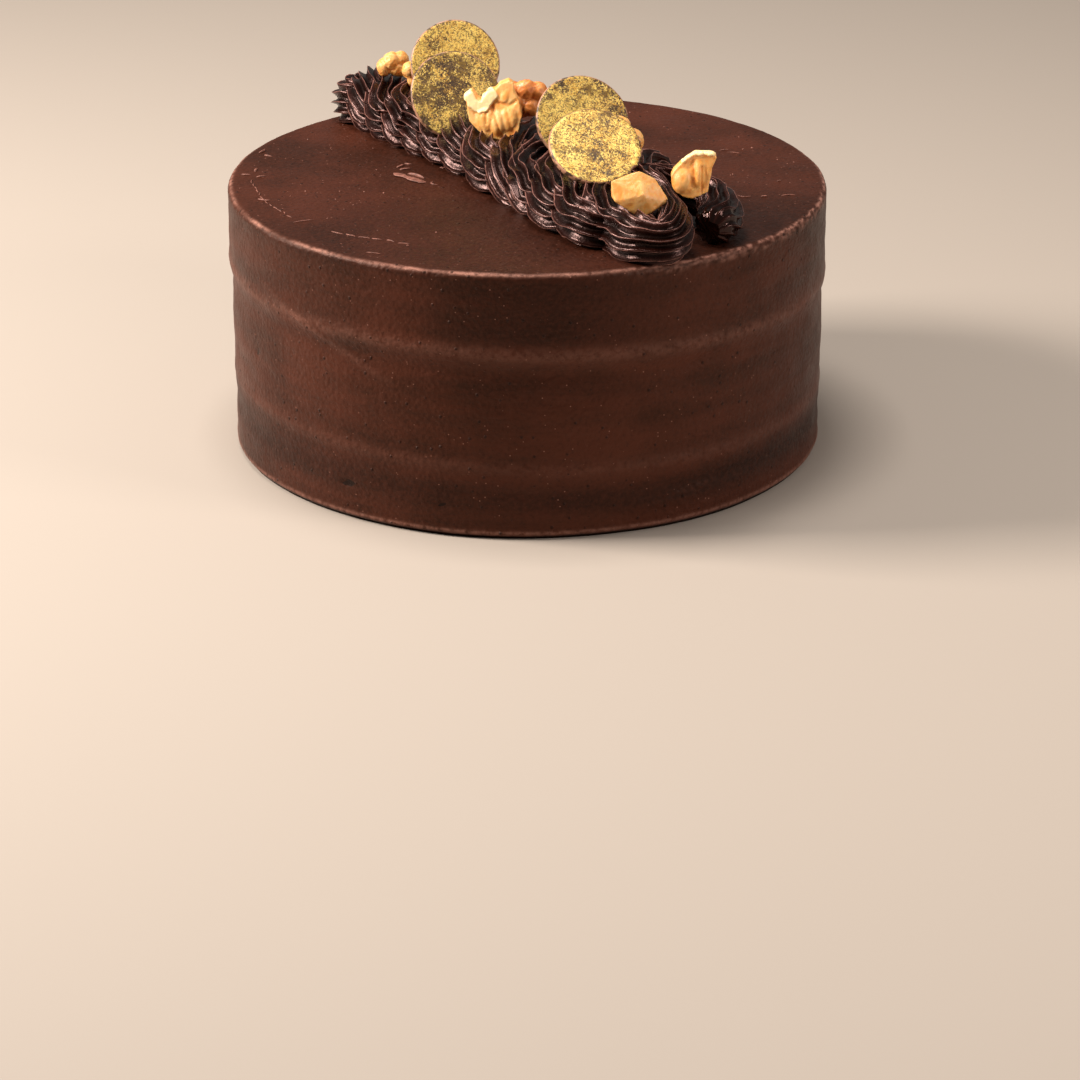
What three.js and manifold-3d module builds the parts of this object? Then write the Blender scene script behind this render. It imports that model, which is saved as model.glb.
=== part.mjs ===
// A round chocolate cake with one loose rope of piped buttercream laid across its top,
// four gold-dusted chocolate discs and seven pieces of walnut pressed into the piping.
// Millimetres, +Z up. The origin is the middle of the cake's flat base.

import * as THREE from 'three';
import { ConvexGeometry } from 'three/addons/geometries/ConvexGeometry.js';
import { mergeVertices } from 'three/addons/utils/BufferGeometryUtils.js';
import Module from 'manifold-3d';

const wasm = await Module();
wasm.setup();

// ---------------------------------------------------------------- driving dimensions

const CAKE_RADIUS = 100;
const CAKE_HEIGHT = 89.2;
const CAKE_SIDES = 60;
const RIM_ROUND = 2.8; // radius of the top edge
const RIM_UNEVEN = 0.35; // how far the scraped side wanders in and out
const SKIRT_INSET = 0.8; // the side below the top band stands this much further in

const RIDGES = 7; // ridges over the strand's back; its underside is plain
const RIDGE_DEPTH = 0.2; // valley depth as a share of the strand's radius
const RIDGES_START = -20; // where the first ridge runs, in degrees above the strand's side
const UNDERSIDE = [245, 295]; // the plain corners below, in the same degrees
const ROPE_DIRECTION = new THREE.Vector2(0.5987, -0.801); // from the back left to the front right

const DISC_RADIUS = 15.3;
const DISC_THICKNESS = 2;
const DISC_SIDES = 36;

const LOBE_SIDES = 8; // sides of a walnut lobe

const TOUCH_SHIFT = 0.04; // share of the way that touching corners are drawn apart
const FIT_GAP = 0.3; // room around a topping pressed into the piping
const SOCKET_GROWTH = 3 * FIT_GAP; // how much longer a walnut's socket is than the walnut

// ---------------------------------------------------------------- materials

const chocolateIcing = { color: 0x4a2c23, roughness: 0.5, metalness: 0 };
const pipedChocolate = { color: 0x2e1a15, roughness: 0.35, metalness: 0 };
const goldDust = { color: 0xb08d45, roughness: 0.45, metalness: 0.3 };
const paleWalnut = { color: 0xe6b777, roughness: 0.5, metalness: 0 };
const brownWalnut = { color: 0xa9652f, roughness: 0.45, metalness: 0 };

// ---------------------------------------------------------------- solids and booleans

/** Turns a closed geometry into a solid that can be joined and cut. */
function toSolid(geometry) {
  const bare = geometry.clone();
  bare.deleteAttribute('normal');
  bare.deleteAttribute('uv');
  const merged = mergeVertices(bare, 1e-3);
  return new wasm.Manifold(
    new wasm.Mesh({
      numProp: 3,
      vertProperties: new Float32Array(merged.attributes.position.array),
      triVerts: new Uint32Array(merged.index.array),
    }),
  );
}

/** Turns a solid back into a geometry. */
function toGeometry(solid) {
  const mesh = solid.getMesh();
  const geometry = new THREE.BufferGeometry();
  geometry.setAttribute('position', new THREE.BufferAttribute(mesh.vertProperties, 3));
  geometry.setIndex(new THREE.BufferAttribute(mesh.triVerts, 1));
  geometry.computeVertexNormals();
  return geometry;
}

/** Joins a list of solids into one. */
function joinAll(solids) {
  let joined = solids[0];
  for (const solid of solids.slice(1)) {
    joined = joined.add(solid);
  }
  return joined;
}

/** Keeps the largest closed skin of a solid and drops sealed bubbles and loose specks. */
function outerSkin(solid) {
  let skins = toSolid(toGeometry(solid)).decompose();
  while (skins.length > 1) {
    skins.sort((a, b) => b.volume() - a.volume());
    skins = toSolid(toGeometry(skins[0])).decompose();
  }
  return skins[0];
}

/** Draws apart corners of a skin that touch at one point, each towards its own neighbours. */
function drawApart(geometry) {
  const { position } = geometry.attributes;
  const corners = geometry.index.array;
  const sums = Array.from({ length: position.count }, () => new THREE.Vector3());
  const counts = new Array(position.count).fill(0);
  for (let k = 0; k < corners.length; k += 1) {
    const next = k % 3 === 2 ? k - 2 : k + 1;
    sums[corners[k]].add(new THREE.Vector3().fromBufferAttribute(position, corners[next]));
    counts[corners[k]] += 1;
  }
  const places = Map.groupBy(sums.keys(), (k) => {
    const place = new THREE.Vector3().fromBufferAttribute(position, k);
    return place.multiplyScalar(100).round().toArray().join();
  });
  for (const touching of places.values()) {
    for (const k of touching.length > 1 ? touching : []) {
      const moved = new THREE.Vector3().fromBufferAttribute(position, k);
      moved.lerp(sums[k].divideScalar(counts[k]), TOUCH_SHIFT);
      position.setXYZ(k, moved.x, moved.y, Math.max(moved.z, CAKE_HEIGHT));
    }
  }
  return geometry;
}

/** A closed skin over rings of points, each ring in the same order, with flat ends. */
function loft(rings) {
  const sides = rings[0].length;
  const positions = rings.flat().flatMap((point) => point.toArray());
  const middles = [rings[0], rings.at(-1)].map((ring) => {
    const sum = ring.reduce((total, point) => total.add(point), new THREE.Vector3());
    return sum.divideScalar(sides);
  });
  positions.push(...middles[0].toArray(), ...middles[1].toArray());
  const index = [];
  const firstMiddle = rings.length * sides;
  const lastRing = (rings.length - 1) * sides;
  for (let side = 0; side < sides; side += 1) {
    const next = (side + 1) % sides;
    for (let ring = 0; ring < rings.length - 1; ring += 1) {
      const a = ring * sides + side;
      const b = ring * sides + next;
      index.push(a, b, b + sides, a, b + sides, a + sides);
    }
    index.push(firstMiddle, next, side);
    index.push(firstMiddle + 1, lastRing + side, lastRing + next);
  }
  const geometry = new THREE.BufferGeometry();
  geometry.setAttribute('position', new THREE.Float32BufferAttribute(positions, 3));
  geometry.setIndex(index);
  return geometry;
}

// ---------------------------------------------------------------- places on the cake's top

/** A place given along the rope, across it to the far side, and above the cake's top. */
function onTop(along, across, above) {
  return new THREE.Vector3(
    along * ROPE_DIRECTION.x - across * ROPE_DIRECTION.y,
    along * ROPE_DIRECTION.y + across * ROPE_DIRECTION.x,
    CAKE_HEIGHT + above,
  );
}

// ---------------------------------------------------------------- cake

/** How far the scraped side stands out of round at an angle and a height. */
function sideWander(angle, height) {
  const slow = Math.sin(3 * angle + 0.8) + 0.6 * Math.sin(7 * angle + height / 40);
  return RIM_UNEVEN * slow * Math.sin((Math.PI * height) / CAKE_HEIGHT);
}

/** The half outline of the cake from the middle of its base up to the flat of its top. */
function cakeOutline() {
  const skirt = CAKE_RADIUS - SKIRT_INSET;
  const outline = [
    [skirt - 0.9, 0],
    [skirt + 0.2, 0.9],
    [skirt - 0.1, 3],
    [skirt - 0.5, 17],
    [skirt, 24],
    [skirt - 0.3, 33],
    [skirt + 0.1, 43],
    [skirt - 0.4, 56],
    [CAKE_RADIUS - 0.2, 61],
    [CAKE_RADIUS, 65],
    [CAKE_RADIUS - 0.3, 72],
    [CAKE_RADIUS, CAKE_HEIGHT - RIM_ROUND],
  ];
  for (let step = 1; step <= 4; step += 1) {
    const turn = (step / 4) * (Math.PI / 2);
    outline.push([
      CAKE_RADIUS - RIM_ROUND * (1 - Math.cos(turn)),
      CAKE_HEIGHT - RIM_ROUND * (1 - Math.sin(turn)),
    ]);
  }
  return outline;
}

function cakeGeometry() {
  const rings = cakeOutline().map(([radius, height]) => {
    const ring = [];
    for (let side = 0; side < CAKE_SIDES; side += 1) {
      const angle = (side / CAKE_SIDES) * 2 * Math.PI;
      const reach = radius + sideWander(angle, height);
      ring.push(new THREE.Vector3(reach * Math.cos(angle), reach * Math.sin(angle), height));
    }
    return ring;
  });
  return loft(rings);
}

// ---------------------------------------------------------------- piped rope

// The strand is laid in a trailing coil, the last turn of it left open. Each row is one turn: where its near lobe sits along the
// rope, how far it swings to each side, how far it curls forward and back, how high it runs and
// how much higher it comes over the middle.
const TURNS = [
  { along: -90, swing: 6.8, curl: 4, height: 6.8, crossing: 5 },
  { along: -78, swing: 7.2, curl: 4, height: 6.8, crossing: 5 },
  { along: -66.5, swing: 7.5, curl: 4, height: 6.6, crossing: 5 },
  { along: -55, swing: 8, curl: 4, height: 6.4, crossing: 5 },
  { along: -43, swing: 9, curl: 4.5, height: 6.3, crossing: 5 },
  { along: -31, swing: 9.5, curl: 4.5, height: 6.2, crossing: 5 },
  { along: -18, swing: 10, curl: 5, height: 6.2, crossing: 5 },
  { along: 3, swing: 14.5, curl: 7, height: 6.1, crossing: 5 },
  { along: 20, swing: 16.5, curl: 7, height: 6, crossing: 5 },
  { along: 33, swing: 19, curl: 7.5, height: 6, crossing: 5 },
  { along: 49, swing: 21.5, curl: 8.5, height: 6, crossing: 5 },
  { along: 66, swing: 23, curl: 10, height: 6, crossing: 5 },
  { along: 79, swing: 22, curl: 10, height: 6, crossing: 5 },
];
const ROPE_OFFSET = -1; // the rope's middle line lies this far to the near side
const LAST_TURN = 11.62; // the coil ends here, and the long last lobe begins
const STATIONS_PER_TURN = 8; // the least number of stations in a turn
const SWING_PER_STATION = 4.5; // a turn gets one more for each so much of swing
const STRETCH = 2; // steps between stations that are joined as one stretch
const COIL = 0.8; // share of a round coil in the strand's sway; the rest is a figure of eight
const TRAIL = 1.5; // how far the far side of a turn trails the near one, as a share of its swing
const SQUARENESS = 0.25; // how much flatter than a circle the near and far sides run
const SETTLE = 1; // how far the strand settles under its own weight
const STRAND_RADIUS = 8.7;
const TAPER = 2.6; // how much thinner the strand is where it leaves the near side
const PINCH = 1.2; // how much thinner it is where it comes over the middle

// The short stretches before the first turn and after the last: along, across, above, radius.
const ROPE_START = [
  [-97.2, -1.8, 7.6, 5],
  [-96, -4, 7.4, 7.4],
  [-94, -6.4, 6.8, 8.2],
];
const ROPE_END = [
  [49, 5, 11.4, 7.4],
  [52, -4.5, 12.4, 7.8],
  [56.5, -12.5, 10.8, 8.2],
  [64, -17.6, 8.4, 8.5],
  [73, -19.4, 6.8, 8.6],
  [82, -20.6, 5.6, 8.6],
  [90.6, -20.8, 5.2, 8.4],
  [95.2, -16.6, 6.2, 7.4],
  [93.2, -11.6, 8.6, 6.2],
  [88, -8, 11.2, 5],
  [82.8, -5.8, 13.2, 3.8],
  [79, -4, 14.2, 3.2],
  [69, -1, 15.2, 4.4],
  [63.5, 0.5, 15, 5],
  [61.5, 6, 13, 5.8],
  [64.5, 12, 11, 6.6],
  [70.5, 16, 9.4, 7],
  [77.5, 17.2, 8, 7.2],
  [83.6, 14.6, 6.8, 7.2],
  [87.6, 11, 6.2, 7.4],
  [90.2, 7.4, 6, 7.3],
  [92.4, 3.8, 5.7, 5.4],
];

/** Reads one value of the turns table between two rows, and holds it outside the table. */
function turnValue(name, turn) {
  const held = Math.min(Math.max(turn, 0), TURNS.length - 1);
  const before = Math.floor(held);
  const after = Math.min(before + 1, TURNS.length - 1);
  return THREE.MathUtils.lerp(TURNS[before][name], TURNS[after][name], held - before);
}

/** One station of the strand, as along, across, above and radius. Whole turns are near lobes. */
function strandStation(turn) {
  const phase = 2 * Math.PI * turn;
  const coming = Math.max(0, -Math.sin(phase));
  const leaving = Math.max(0, Math.sin(phase));
  const nearness = Math.cos(phase);
  const sway = (1 - COIL) * Math.sin(2 * phase) + COIL * Math.sin(phase);
  const swing = turnValue('swing', turn);
  const trail = (TRAIL * swing * (1 - nearness)) / 2;
  return [
    turnValue('along', turn) - trail + turnValue('curl', turn) * sway,
    ROPE_OFFSET - swing * nearness * (1 + SQUARENESS - SQUARENESS * nearness ** 2),
    turnValue('height', turn) - SETTLE + turnValue('crossing', turn) * coming,
    STRAND_RADIUS - TAPER * leaving - PINCH * coming ** 3,
  ];
}

/** All the stations of the strand, closer together in turn where it swings further. */
function strandStations() {
  const stations = [...ROPE_START];
  let turn = 0;
  while (turn < LAST_TURN) {
    stations.push(strandStation(turn));
    turn += 1 / (STATIONS_PER_TURN + turnValue('swing', turn) / SWING_PER_STATION);
  }
  return [...stations, ...ROPE_END];
}

/** The corners of the strand's section, each as an angle and a share of the radius. */
function strandSection() {
  const corners = [];
  const last = 2 * (RIDGES - 1);
  for (let corner = 0; corner <= last; corner += 1) {
    const degrees = RIDGES_START + (corner / last) * (180 - 2 * RIDGES_START);
    corners.push([THREE.MathUtils.degToRad(degrees), corner % 2 === 1 ? 1 - RIDGE_DEPTH : 1]);
  }
  for (const degrees of UNDERSIDE) {
    corners.push([THREE.MathUtils.degToRad(degrees), 1 - RIDGE_DEPTH]);
  }
  return corners;
}

/** The ridged rings of the strand, each square to its path and never below the cake's top. */
function strandRings() {
  const stations = strandStations();
  const section = strandSection();
  const middles = stations.map(([along, across, above]) => onTop(along, across, above));
  const up = new THREE.Vector3(0, 0, 1);
  return middles.map((middle, k) => {
    const ahead = middles[Math.min(k + 1, middles.length - 1)];
    const behind = middles[Math.max(k - 1, 0)];
    const forward = ahead.clone().sub(behind).normalize();
    const side = new THREE.Vector3().crossVectors(up, forward).normalize();
    const top = new THREE.Vector3().crossVectors(forward, side);
    return section.map(([angle, share]) => {
      const reach = stations[k][3] * share;
      const point = middle.clone();
      point.addScaledVector(side, reach * Math.cos(angle));
      point.addScaledVector(top, reach * Math.sin(angle));
      point.z = Math.max(point.z, CAKE_HEIGHT);
      return point;
    });
  });
}

/** The whole rope as one solid: short stretches of the strand, joined one after another. */
function ropeSolid() {
  const rings = strandRings();
  const stretches = [];
  for (let k = 0; k + 1 < rings.length; k += STRETCH) {
    stretches.push(toSolid(loft(rings.slice(k, k + STRETCH + 1))));
  }
  return joinAll(stretches);
}

// ---------------------------------------------------------------- chocolate discs

// Each disc: the place of its middle as along, across and above, how far its face leans up
// and how far it is turned to the right.
const DISCS = [
  { name: 'chocolate_disc_back_left', at: [-48, 5, 27.5], lean: 27, turn: 5 },
  { name: 'chocolate_disc_front_left', at: [-34, -5, 21.5], lean: 32, turn: 12 },
  { name: 'chocolate_disc_back_right', at: [26, 3, 25.5], lean: 35, turn: 12 },
  { name: 'chocolate_disc_front_right', at: [49, -9, 24], lean: 55, turn: 14 },
];

/** A disc in place, made larger all round by a gap. */
function discGeometry(disc, gap = 0) {
  const thickness = DISC_THICKNESS + 2 * gap;
  const radius = DISC_RADIUS + gap;
  const geometry = new THREE.CylinderGeometry(radius, radius, thickness, DISC_SIDES);
  geometry.rotateX(-THREE.MathUtils.degToRad(disc.lean));
  geometry.rotateZ(THREE.MathUtils.degToRad(disc.turn));
  const middle = onTop(...disc.at);
  geometry.translate(middle.x, middle.y, middle.z);
  return geometry;
}

// ---------------------------------------------------------------- walnut pieces

/** A smooth lobe: an ellipsoid with its middle, half sizes and turns about X, Y and Z. */
function lobe([x, y, z], [a, b, c], [turnX, turnY, turnZ] = [0, 0, 0]) {
  const geometry = new THREE.SphereGeometry(1, LOBE_SIDES, LOBE_SIDES / 2);
  geometry.scale(a, b, c);
  geometry.rotateX(THREE.MathUtils.degToRad(turnX));
  geometry.rotateY(THREE.MathUtils.degToRad(turnY));
  geometry.rotateZ(THREE.MathUtils.degToRad(turnZ));
  geometry.translate(x, y, z);
  return geometry;
}

/** A broken chip: the flat-sided solid around a list of corners. */
function chip(corners) {
  return new ConvexGeometry(corners.map((corner) => new THREE.Vector3(...corner)));
}

// Each walnut piece: the place of its middle as along, across and above, its material, and its
// shapes about that middle, with X to the right, Y away and Z up.
const WALNUTS = [
  {
    name: 'walnut_piece_back_left',
    at: [-78, 0, 21.8],
    finish: paleWalnut,
    shapes: [
      lobe([-3.2, 0, -1.2], [2.6, 3.4, 3.4]),
      lobe([-0.6, -0.6, 1.2], [3, 3.4, 3.2], [0, 20, 0]),
      lobe([2.6, 0.4, 1.4], [2.9, 3.2, 3], [0, 30, 0]),
      lobe([1.6, -0.6, -1.6], [3.4, 3.2, 2.6]),
    ],
  },
  {
    name: 'walnut_piece_left',
    at: [-67, 0, 20.8],
    finish: paleWalnut,
    shapes: [
      lobe([-0.4, 0, 1.2], [3, 3, 3.1]),
      lobe([0.8, 0, -1.8], [2.4, 2.8, 3.2]),
    ],
  },
  {
    name: 'walnut_piece_middle_front',
    at: [-9, -6, 23],
    finish: paleWalnut,
    shapes: [
      lobe([0.6, 0.4, -2.8], [7.4, 3.2, 5.8], [0, 8, 0]),
      lobe([-3, 0, -3.2], [3.4, 4, 6.2], [0, -18, 0]),
      lobe([0.6, -0.6, -3.8], [2.9, 4.2, 6.2], [0, -4, 0]),
      lobe([3.8, -0.4, -2.8], [3, 4.2, 6.4], [0, 8, 0]),
      lobe([6.6, 0.2, -1.2], [2.8, 3.8, 5], [0, 16, 0]),
      lobe([-5.8, 0.6, 0.8], [4.2, 2.4, 3], [0, 35, 0]),
      lobe([-1.4, 1, 1.4], [3, 3, 3.4], [0, -20, 0]),
      lobe([-8, -0.8, 2.8], [2.2, 1.3, 2], [0, 40, 0]),
      lobe([-5.6, -1.2, 0.2], [2.8, 1.3, 1.7], [0, 30, 0]),
      lobe([-2.6, -1.6, 1.4], [2.6, 1.3, 1.7], [0, -40, 0]),
      lobe([-0.4, -1.4, 4], [1.6, 1.2, 2.6], [0, 20, 0]),
      chip([
        [4.2, 0.4, 10],
        [6.8, 0.6, 9.6],
        [9.4, 0.6, 3],
        [9, 0.2, -2],
        [1.6, -0.6, 5.5],
        [0.6, -0.8, 0],
        [5, -3, 2.4],
        [5, 2.8, 4],
      ]),
    ],
  },
  {
    name: 'walnut_piece_middle_back',
    at: [-13.5, 9, 23.4],
    finish: brownWalnut,
    shapes: [
      lobe([-4.4, 0, 2.2], [3.6, 3.4, 3.2], [0, -15, 0]),
      lobe([0.4, -0.8, 2.8], [3.4, 3.6, 3.4]),
      lobe([4.4, 0, 1.6], [3.4, 3.6, 3.6], [0, 20, 0]),
      lobe([-2.2, -0.4, -1.6], [3.4, 3.8, 3.8]),
      lobe([2, -0.6, -3], [3.4, 3.8, 3.6]),
      lobe([-1, 2.4, -4.8], [3.2, 3.4, 3.2]),
    ],
  },
  {
    name: 'walnut_piece_right_back',
    at: [44, 8, 21.8],
    finish: paleWalnut,
    shapes: [
      lobe([-2.4, 0.4, 5.2], [3.3, 3, 3.2], [0, 10, 0]),
      lobe([2.3, -0.2, 0.6], [2.8, 3, 3.9], [0, -18, 0]),
      lobe([-1.4, 0.6, -1.2], [3.2, 3, 5]),
    ],
  },
  {
    name: 'walnut_chip_front',
    at: [80.3, -15.9, 17.6],
    finish: paleWalnut,
    shapes: [
      chip([
        [-9, 0, 4.4],
        [-8.8, 0.6, -1],
        [-7.6, -2.8, -1.6],
        [-4, 2.6, 5.6],
        [0.4, 2, 7.2],
        [4.9, 2, 4.9],
        [9.2, 1, -1.6],
        [8.8, 0, -2.8],
        [4.4, -3, -4.6],
        [0.4, -3.6, -6.8],
        [-2.4, -3.4, -4.6],
        [1.2, -3.8, 1],
        [0, 3, -4],
        [6, 3.4, -1],
        [-6, 3.6, 0.4],
      ]),
    ],
  },
  {
    name: 'walnut_chip_right',
    at: [84, 3, 21.4],
    finish: paleWalnut,
    shapes: [
      lobe([-3.6, 0, -2.4], [3.4, 3.4, 4.6], [0, 14, 0]),
      lobe([2.6, -0.4, 0.4], [2.6, 3.4, 6.4], [0, 10, 0]),
      lobe([5.2, 0.2, 6.8], [3, 2.2, 1.3], [0, -6, 0]),
      chip([
        [-7.4, 0, 0.6],
        [-6.6, -1.4, -4],
        [-2, -1.2, -7],
        [1.4, 0, -7],
        [5.4, 0.4, -4.6],
        [7.4, 0.6, 8],
        [6.6, -1.4, 7.4],
        [-1.6, 0.8, 7.6],
        [-4.6, -0.4, 4.4],
        [1.6, -3.4, 1],
        [-3, -3.2, -2],
        [0, 3.4, 0],
        [4, 3, 2],
        [-4, 3, -1],
      ]),
    ],
  },
];

/** A walnut piece in place, as one solid. */
function walnutSolid(walnut) {
  const middle = onTop(...walnut.at);
  const solids = walnut.shapes.map((shape) => {
    const placed = shape.clone();
    placed.translate(middle.x, middle.y, middle.z);
    return toSolid(placed);
  });
  return outerSkin(joinAll(solids));
}

/** The room that a walnut piece takes in the piping: the piece pushed out by the gap. */
function walnutSocket(walnut) {
  const middle = onTop(...walnut.at);
  const solids = walnut.shapes.map((shape) => {
    shape.computeBoundingBox();
    const size = shape.boundingBox.getSize(new THREE.Vector3());
    const centre = shape.boundingBox.getCenter(new THREE.Vector3());
    const grown = shape.clone();
    grown.translate(-centre.x, -centre.y, -centre.z);
    grown.scale(
      1 + SOCKET_GROWTH / size.x,
      1 + SOCKET_GROWTH / size.y,
      1 + SOCKET_GROWTH / size.z,
    );
    grown.translate(middle.x + centre.x, middle.y + centre.y, middle.z + centre.z);
    return toSolid(grown);
  });
  return joinAll(solids);
}

// ---------------------------------------------------------------- the whole cake

/** A named mesh with a material of its own. */
function piece(name, geometry, finish) {
  const mesh = new THREE.Mesh(geometry, new THREE.MeshStandardMaterial(finish));
  mesh.name = name;
  return mesh;
}

const cakeGroup = new THREE.Group();
cakeGroup.add(piece('cake', cakeGeometry(), chocolateIcing));

let rope = ropeSolid();
for (const disc of DISCS) {
  rope = rope.subtract(toSolid(discGeometry(disc, FIT_GAP)));
  cakeGroup.add(piece(disc.name, discGeometry(disc), goldDust));
}
for (const walnut of WALNUTS) {
  rope = rope.subtract(walnutSocket(walnut));
  cakeGroup.add(piece(walnut.name, toGeometry(walnutSolid(walnut)), walnut.finish));
}
cakeGroup.add(piece('piped_rope', drawApart(toGeometry(outerSkin(rope))), pipedChocolate));

export default cakeGroup;
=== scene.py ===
"""A chocolate walnut cake: its fine surfaces and finishes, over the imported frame.

The pieces' sizes are in millimetres and are scaled to metres when their meshes are made. The stage, the
lights and the camera are in metres. Places on top of the cake are given as (along, across, above):
along the piped rope from its ragged start, across it to the far side, and above the cake's top.
"""

import logging
import math
import random
from dataclasses import dataclass, field
from enum import Enum
from typing import Iterable, Sequence

import bmesh
import bpy
import numpy as np
from mathutils import Euler, Matrix, Vector, noise
from mathutils.bvhtree import BVHTree

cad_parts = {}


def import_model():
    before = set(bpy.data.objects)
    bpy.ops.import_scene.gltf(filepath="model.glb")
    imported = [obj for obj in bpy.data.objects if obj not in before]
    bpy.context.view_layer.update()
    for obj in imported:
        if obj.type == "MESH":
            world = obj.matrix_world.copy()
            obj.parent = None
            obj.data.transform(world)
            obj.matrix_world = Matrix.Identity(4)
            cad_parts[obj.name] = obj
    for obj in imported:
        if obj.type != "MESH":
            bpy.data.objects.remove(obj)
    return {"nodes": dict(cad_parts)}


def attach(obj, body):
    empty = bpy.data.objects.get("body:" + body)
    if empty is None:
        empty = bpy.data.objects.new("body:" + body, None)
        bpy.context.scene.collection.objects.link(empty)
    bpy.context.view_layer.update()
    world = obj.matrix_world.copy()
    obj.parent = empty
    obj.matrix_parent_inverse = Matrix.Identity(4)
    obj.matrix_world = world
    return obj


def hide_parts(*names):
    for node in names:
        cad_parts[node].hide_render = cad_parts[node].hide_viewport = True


LOG = logging.getLogger("cake")

MM = 0.001
ROOT_BODY = "root"

CAKE_RADIUS_MM = 100.0
CAKE_HEIGHT_MM = 89.2
ROPE_DIRECTION = (0.5987, -0.801)


def on_top(along: float, across: float, above: float) -> Vector:
    """Turns a place on the cake's top into a point.

    Args:
        along: Millimetres along the rope from the middle of the cake.
        across: Millimetres across the rope, towards the far side.
        above: Millimetres above the cake's top.

    Returns:
        The point in the part's frame, in millimetres.
    """
    x = along * ROPE_DIRECTION[0] - across * ROPE_DIRECTION[1]
    y = along * ROPE_DIRECTION[1] + across * ROPE_DIRECTION[0]
    return Vector((x, y, CAKE_HEIGHT_MM + above))


def smoothstep(low: float, high: float, value: float) -> float:
    """Eases from 0 at low to 1 at high.

    Args:
        low: Where the step starts.
        high: Where the step ends.
        value: The value to ease.

    Returns:
        The eased share, 0 to 1.
    """
    share = min(max((value - low) / (high - low), 0.0), 1.0)
    return share * share * (3.0 - 2.0 * share)


def hump(value: float, middle: float, width: float) -> float:
    """Returns a smooth hump, 1 at its middle, that falls away over its width on both sides."""
    return math.exp(-(((value - middle) / width) ** 2))


def ring_noise(angle: float, reach: float, level: float) -> float:
    """Reads a noise that meets itself round the cake.

    Args:
        angle: The angle around the cake.
        reach: How finely it changes with the angle.
        level: Where it is read upwards.

    Returns:
        The noise, about -1 to 1.
    """
    return noise.noise(Vector((reach * math.cos(angle), reach * math.sin(angle), level)))


# ---------------------------------------------------------------------------------------- node trees


class NodeTree:
    """A node tree under construction, with short calls for the nodes that recur."""

    def __init__(self, tree: bpy.types.NodeTree) -> None:
        """Takes the tree that nodes are added to."""
        self.tree = tree

    def node(self, kind: str, inputs: dict | None = None, **settings: object) -> bpy.types.Node:
        """Adds a node.

        Args:
            kind: The node's type name.
            inputs: Input name or index to a value or to another node's output.
            settings: Properties of the node itself.

        Returns:
            The new node.
        """
        made = self.tree.nodes.new(kind)
        for name, value in settings.items():
            setattr(made, name, value)
        for key, value in (inputs or {}).items():
            self.feed(made.inputs[key], value)
        return made

    def feed(self, socket: bpy.types.NodeSocket, value: object) -> None:
        """Links an output to a socket, or sets the socket's own value.

        Args:
            socket: The input socket.
            value: An output, or a value.
        """
        if isinstance(value, bpy.types.NodeSocket):
            self.tree.links.new(value, socket)
        else:
            socket.default_value = value

    def math(self, operation: str, *values: object) -> bpy.types.NodeSocket:
        """Adds a Math node.

        Args:
            operation: The node's operation.
            values: Its inputs in order, as numbers or outputs.

        Returns:
            The node's output.
        """
        made = self.node("ShaderNodeMath", dict(enumerate(values)), operation=operation)
        return made.outputs[0]

    def plus(self, total: object, *others: object) -> bpy.types.NodeSocket:
        """Adds numbers or outputs up, in their order.

        Args:
            total: The first of them.
            others: The ones that are added to it.

        Returns:
            The sum.
        """
        for other in others:
            total = self.math("ADD", total, other)
        return total

    def minus(self, value: object, other: object) -> bpy.types.NodeSocket:
        """Takes one number or output from another and returns what is left."""
        return self.math("SUBTRACT", value, other)

    def times(self, product: object, *others: object) -> bpy.types.NodeSocket:
        """Multiplies numbers or outputs, in their order.

        Args:
            product: The first of them.
            others: The ones that it is multiplied by.

        Returns:
            The product.
        """
        for other in others:
            product = self.math("MULTIPLY", product, other)
        return product

    def vector(self, operation: str, *values: object) -> bpy.types.NodeSocket:
        """Adds a Vector Math node.

        Args:
            operation: The node's operation.
            values: Its inputs in order, as vectors or outputs.

        Returns:
            The node's vector output.
        """
        made = self.node("ShaderNodeVectorMath", dict(enumerate(values)), operation=operation)
        return made.outputs["Vector"]

    def scaled(self, vector: object, scale: object) -> bpy.types.NodeSocket:
        """Scales a vector output by a number and returns the result."""
        made = self.node("ShaderNodeVectorMath", {0: vector, "Scale": scale}, operation="SCALE")
        return made.outputs["Vector"]

    def remap(
        self,
        value: object,
        low: float,
        high: float,
        to_low: float = 0.0,
        to_high: float = 1.0,
    ) -> bpy.types.NodeSocket:
        """Adds a clamped Map Range node.

        Args:
            value: The output to remap.
            low: The lower end it is read from.
            high: The upper end it is read from.
            to_low: What the lower end becomes.
            to_high: What the upper end becomes.

        Returns:
            The remapped output.
        """
        made = self.node(
            "ShaderNodeMapRange",
            {"Value": value, "From Min": low, "From Max": high, "To Min": to_low, "To Max": to_high},
        )
        return made.outputs["Result"]


Colour = tuple[float, float, float]


def linear(red: float, green: float, blue: float) -> Colour:
    """Turns a colour as seen on a screen into scene-linear values.

    Args:
        red: Its red, 0 to 255.
        green: Its green, 0 to 255.
        blue: Its blue, 0 to 255.

    Returns:
        The scene-linear colour.
    """

    def channel(value: float) -> float:
        """Turns one channel."""
        share = value / 255.0
        return share / 12.92 if share <= 0.04045 else ((share + 0.055) / 1.055) ** 2.4

    return channel(red), channel(green), channel(blue)


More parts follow.
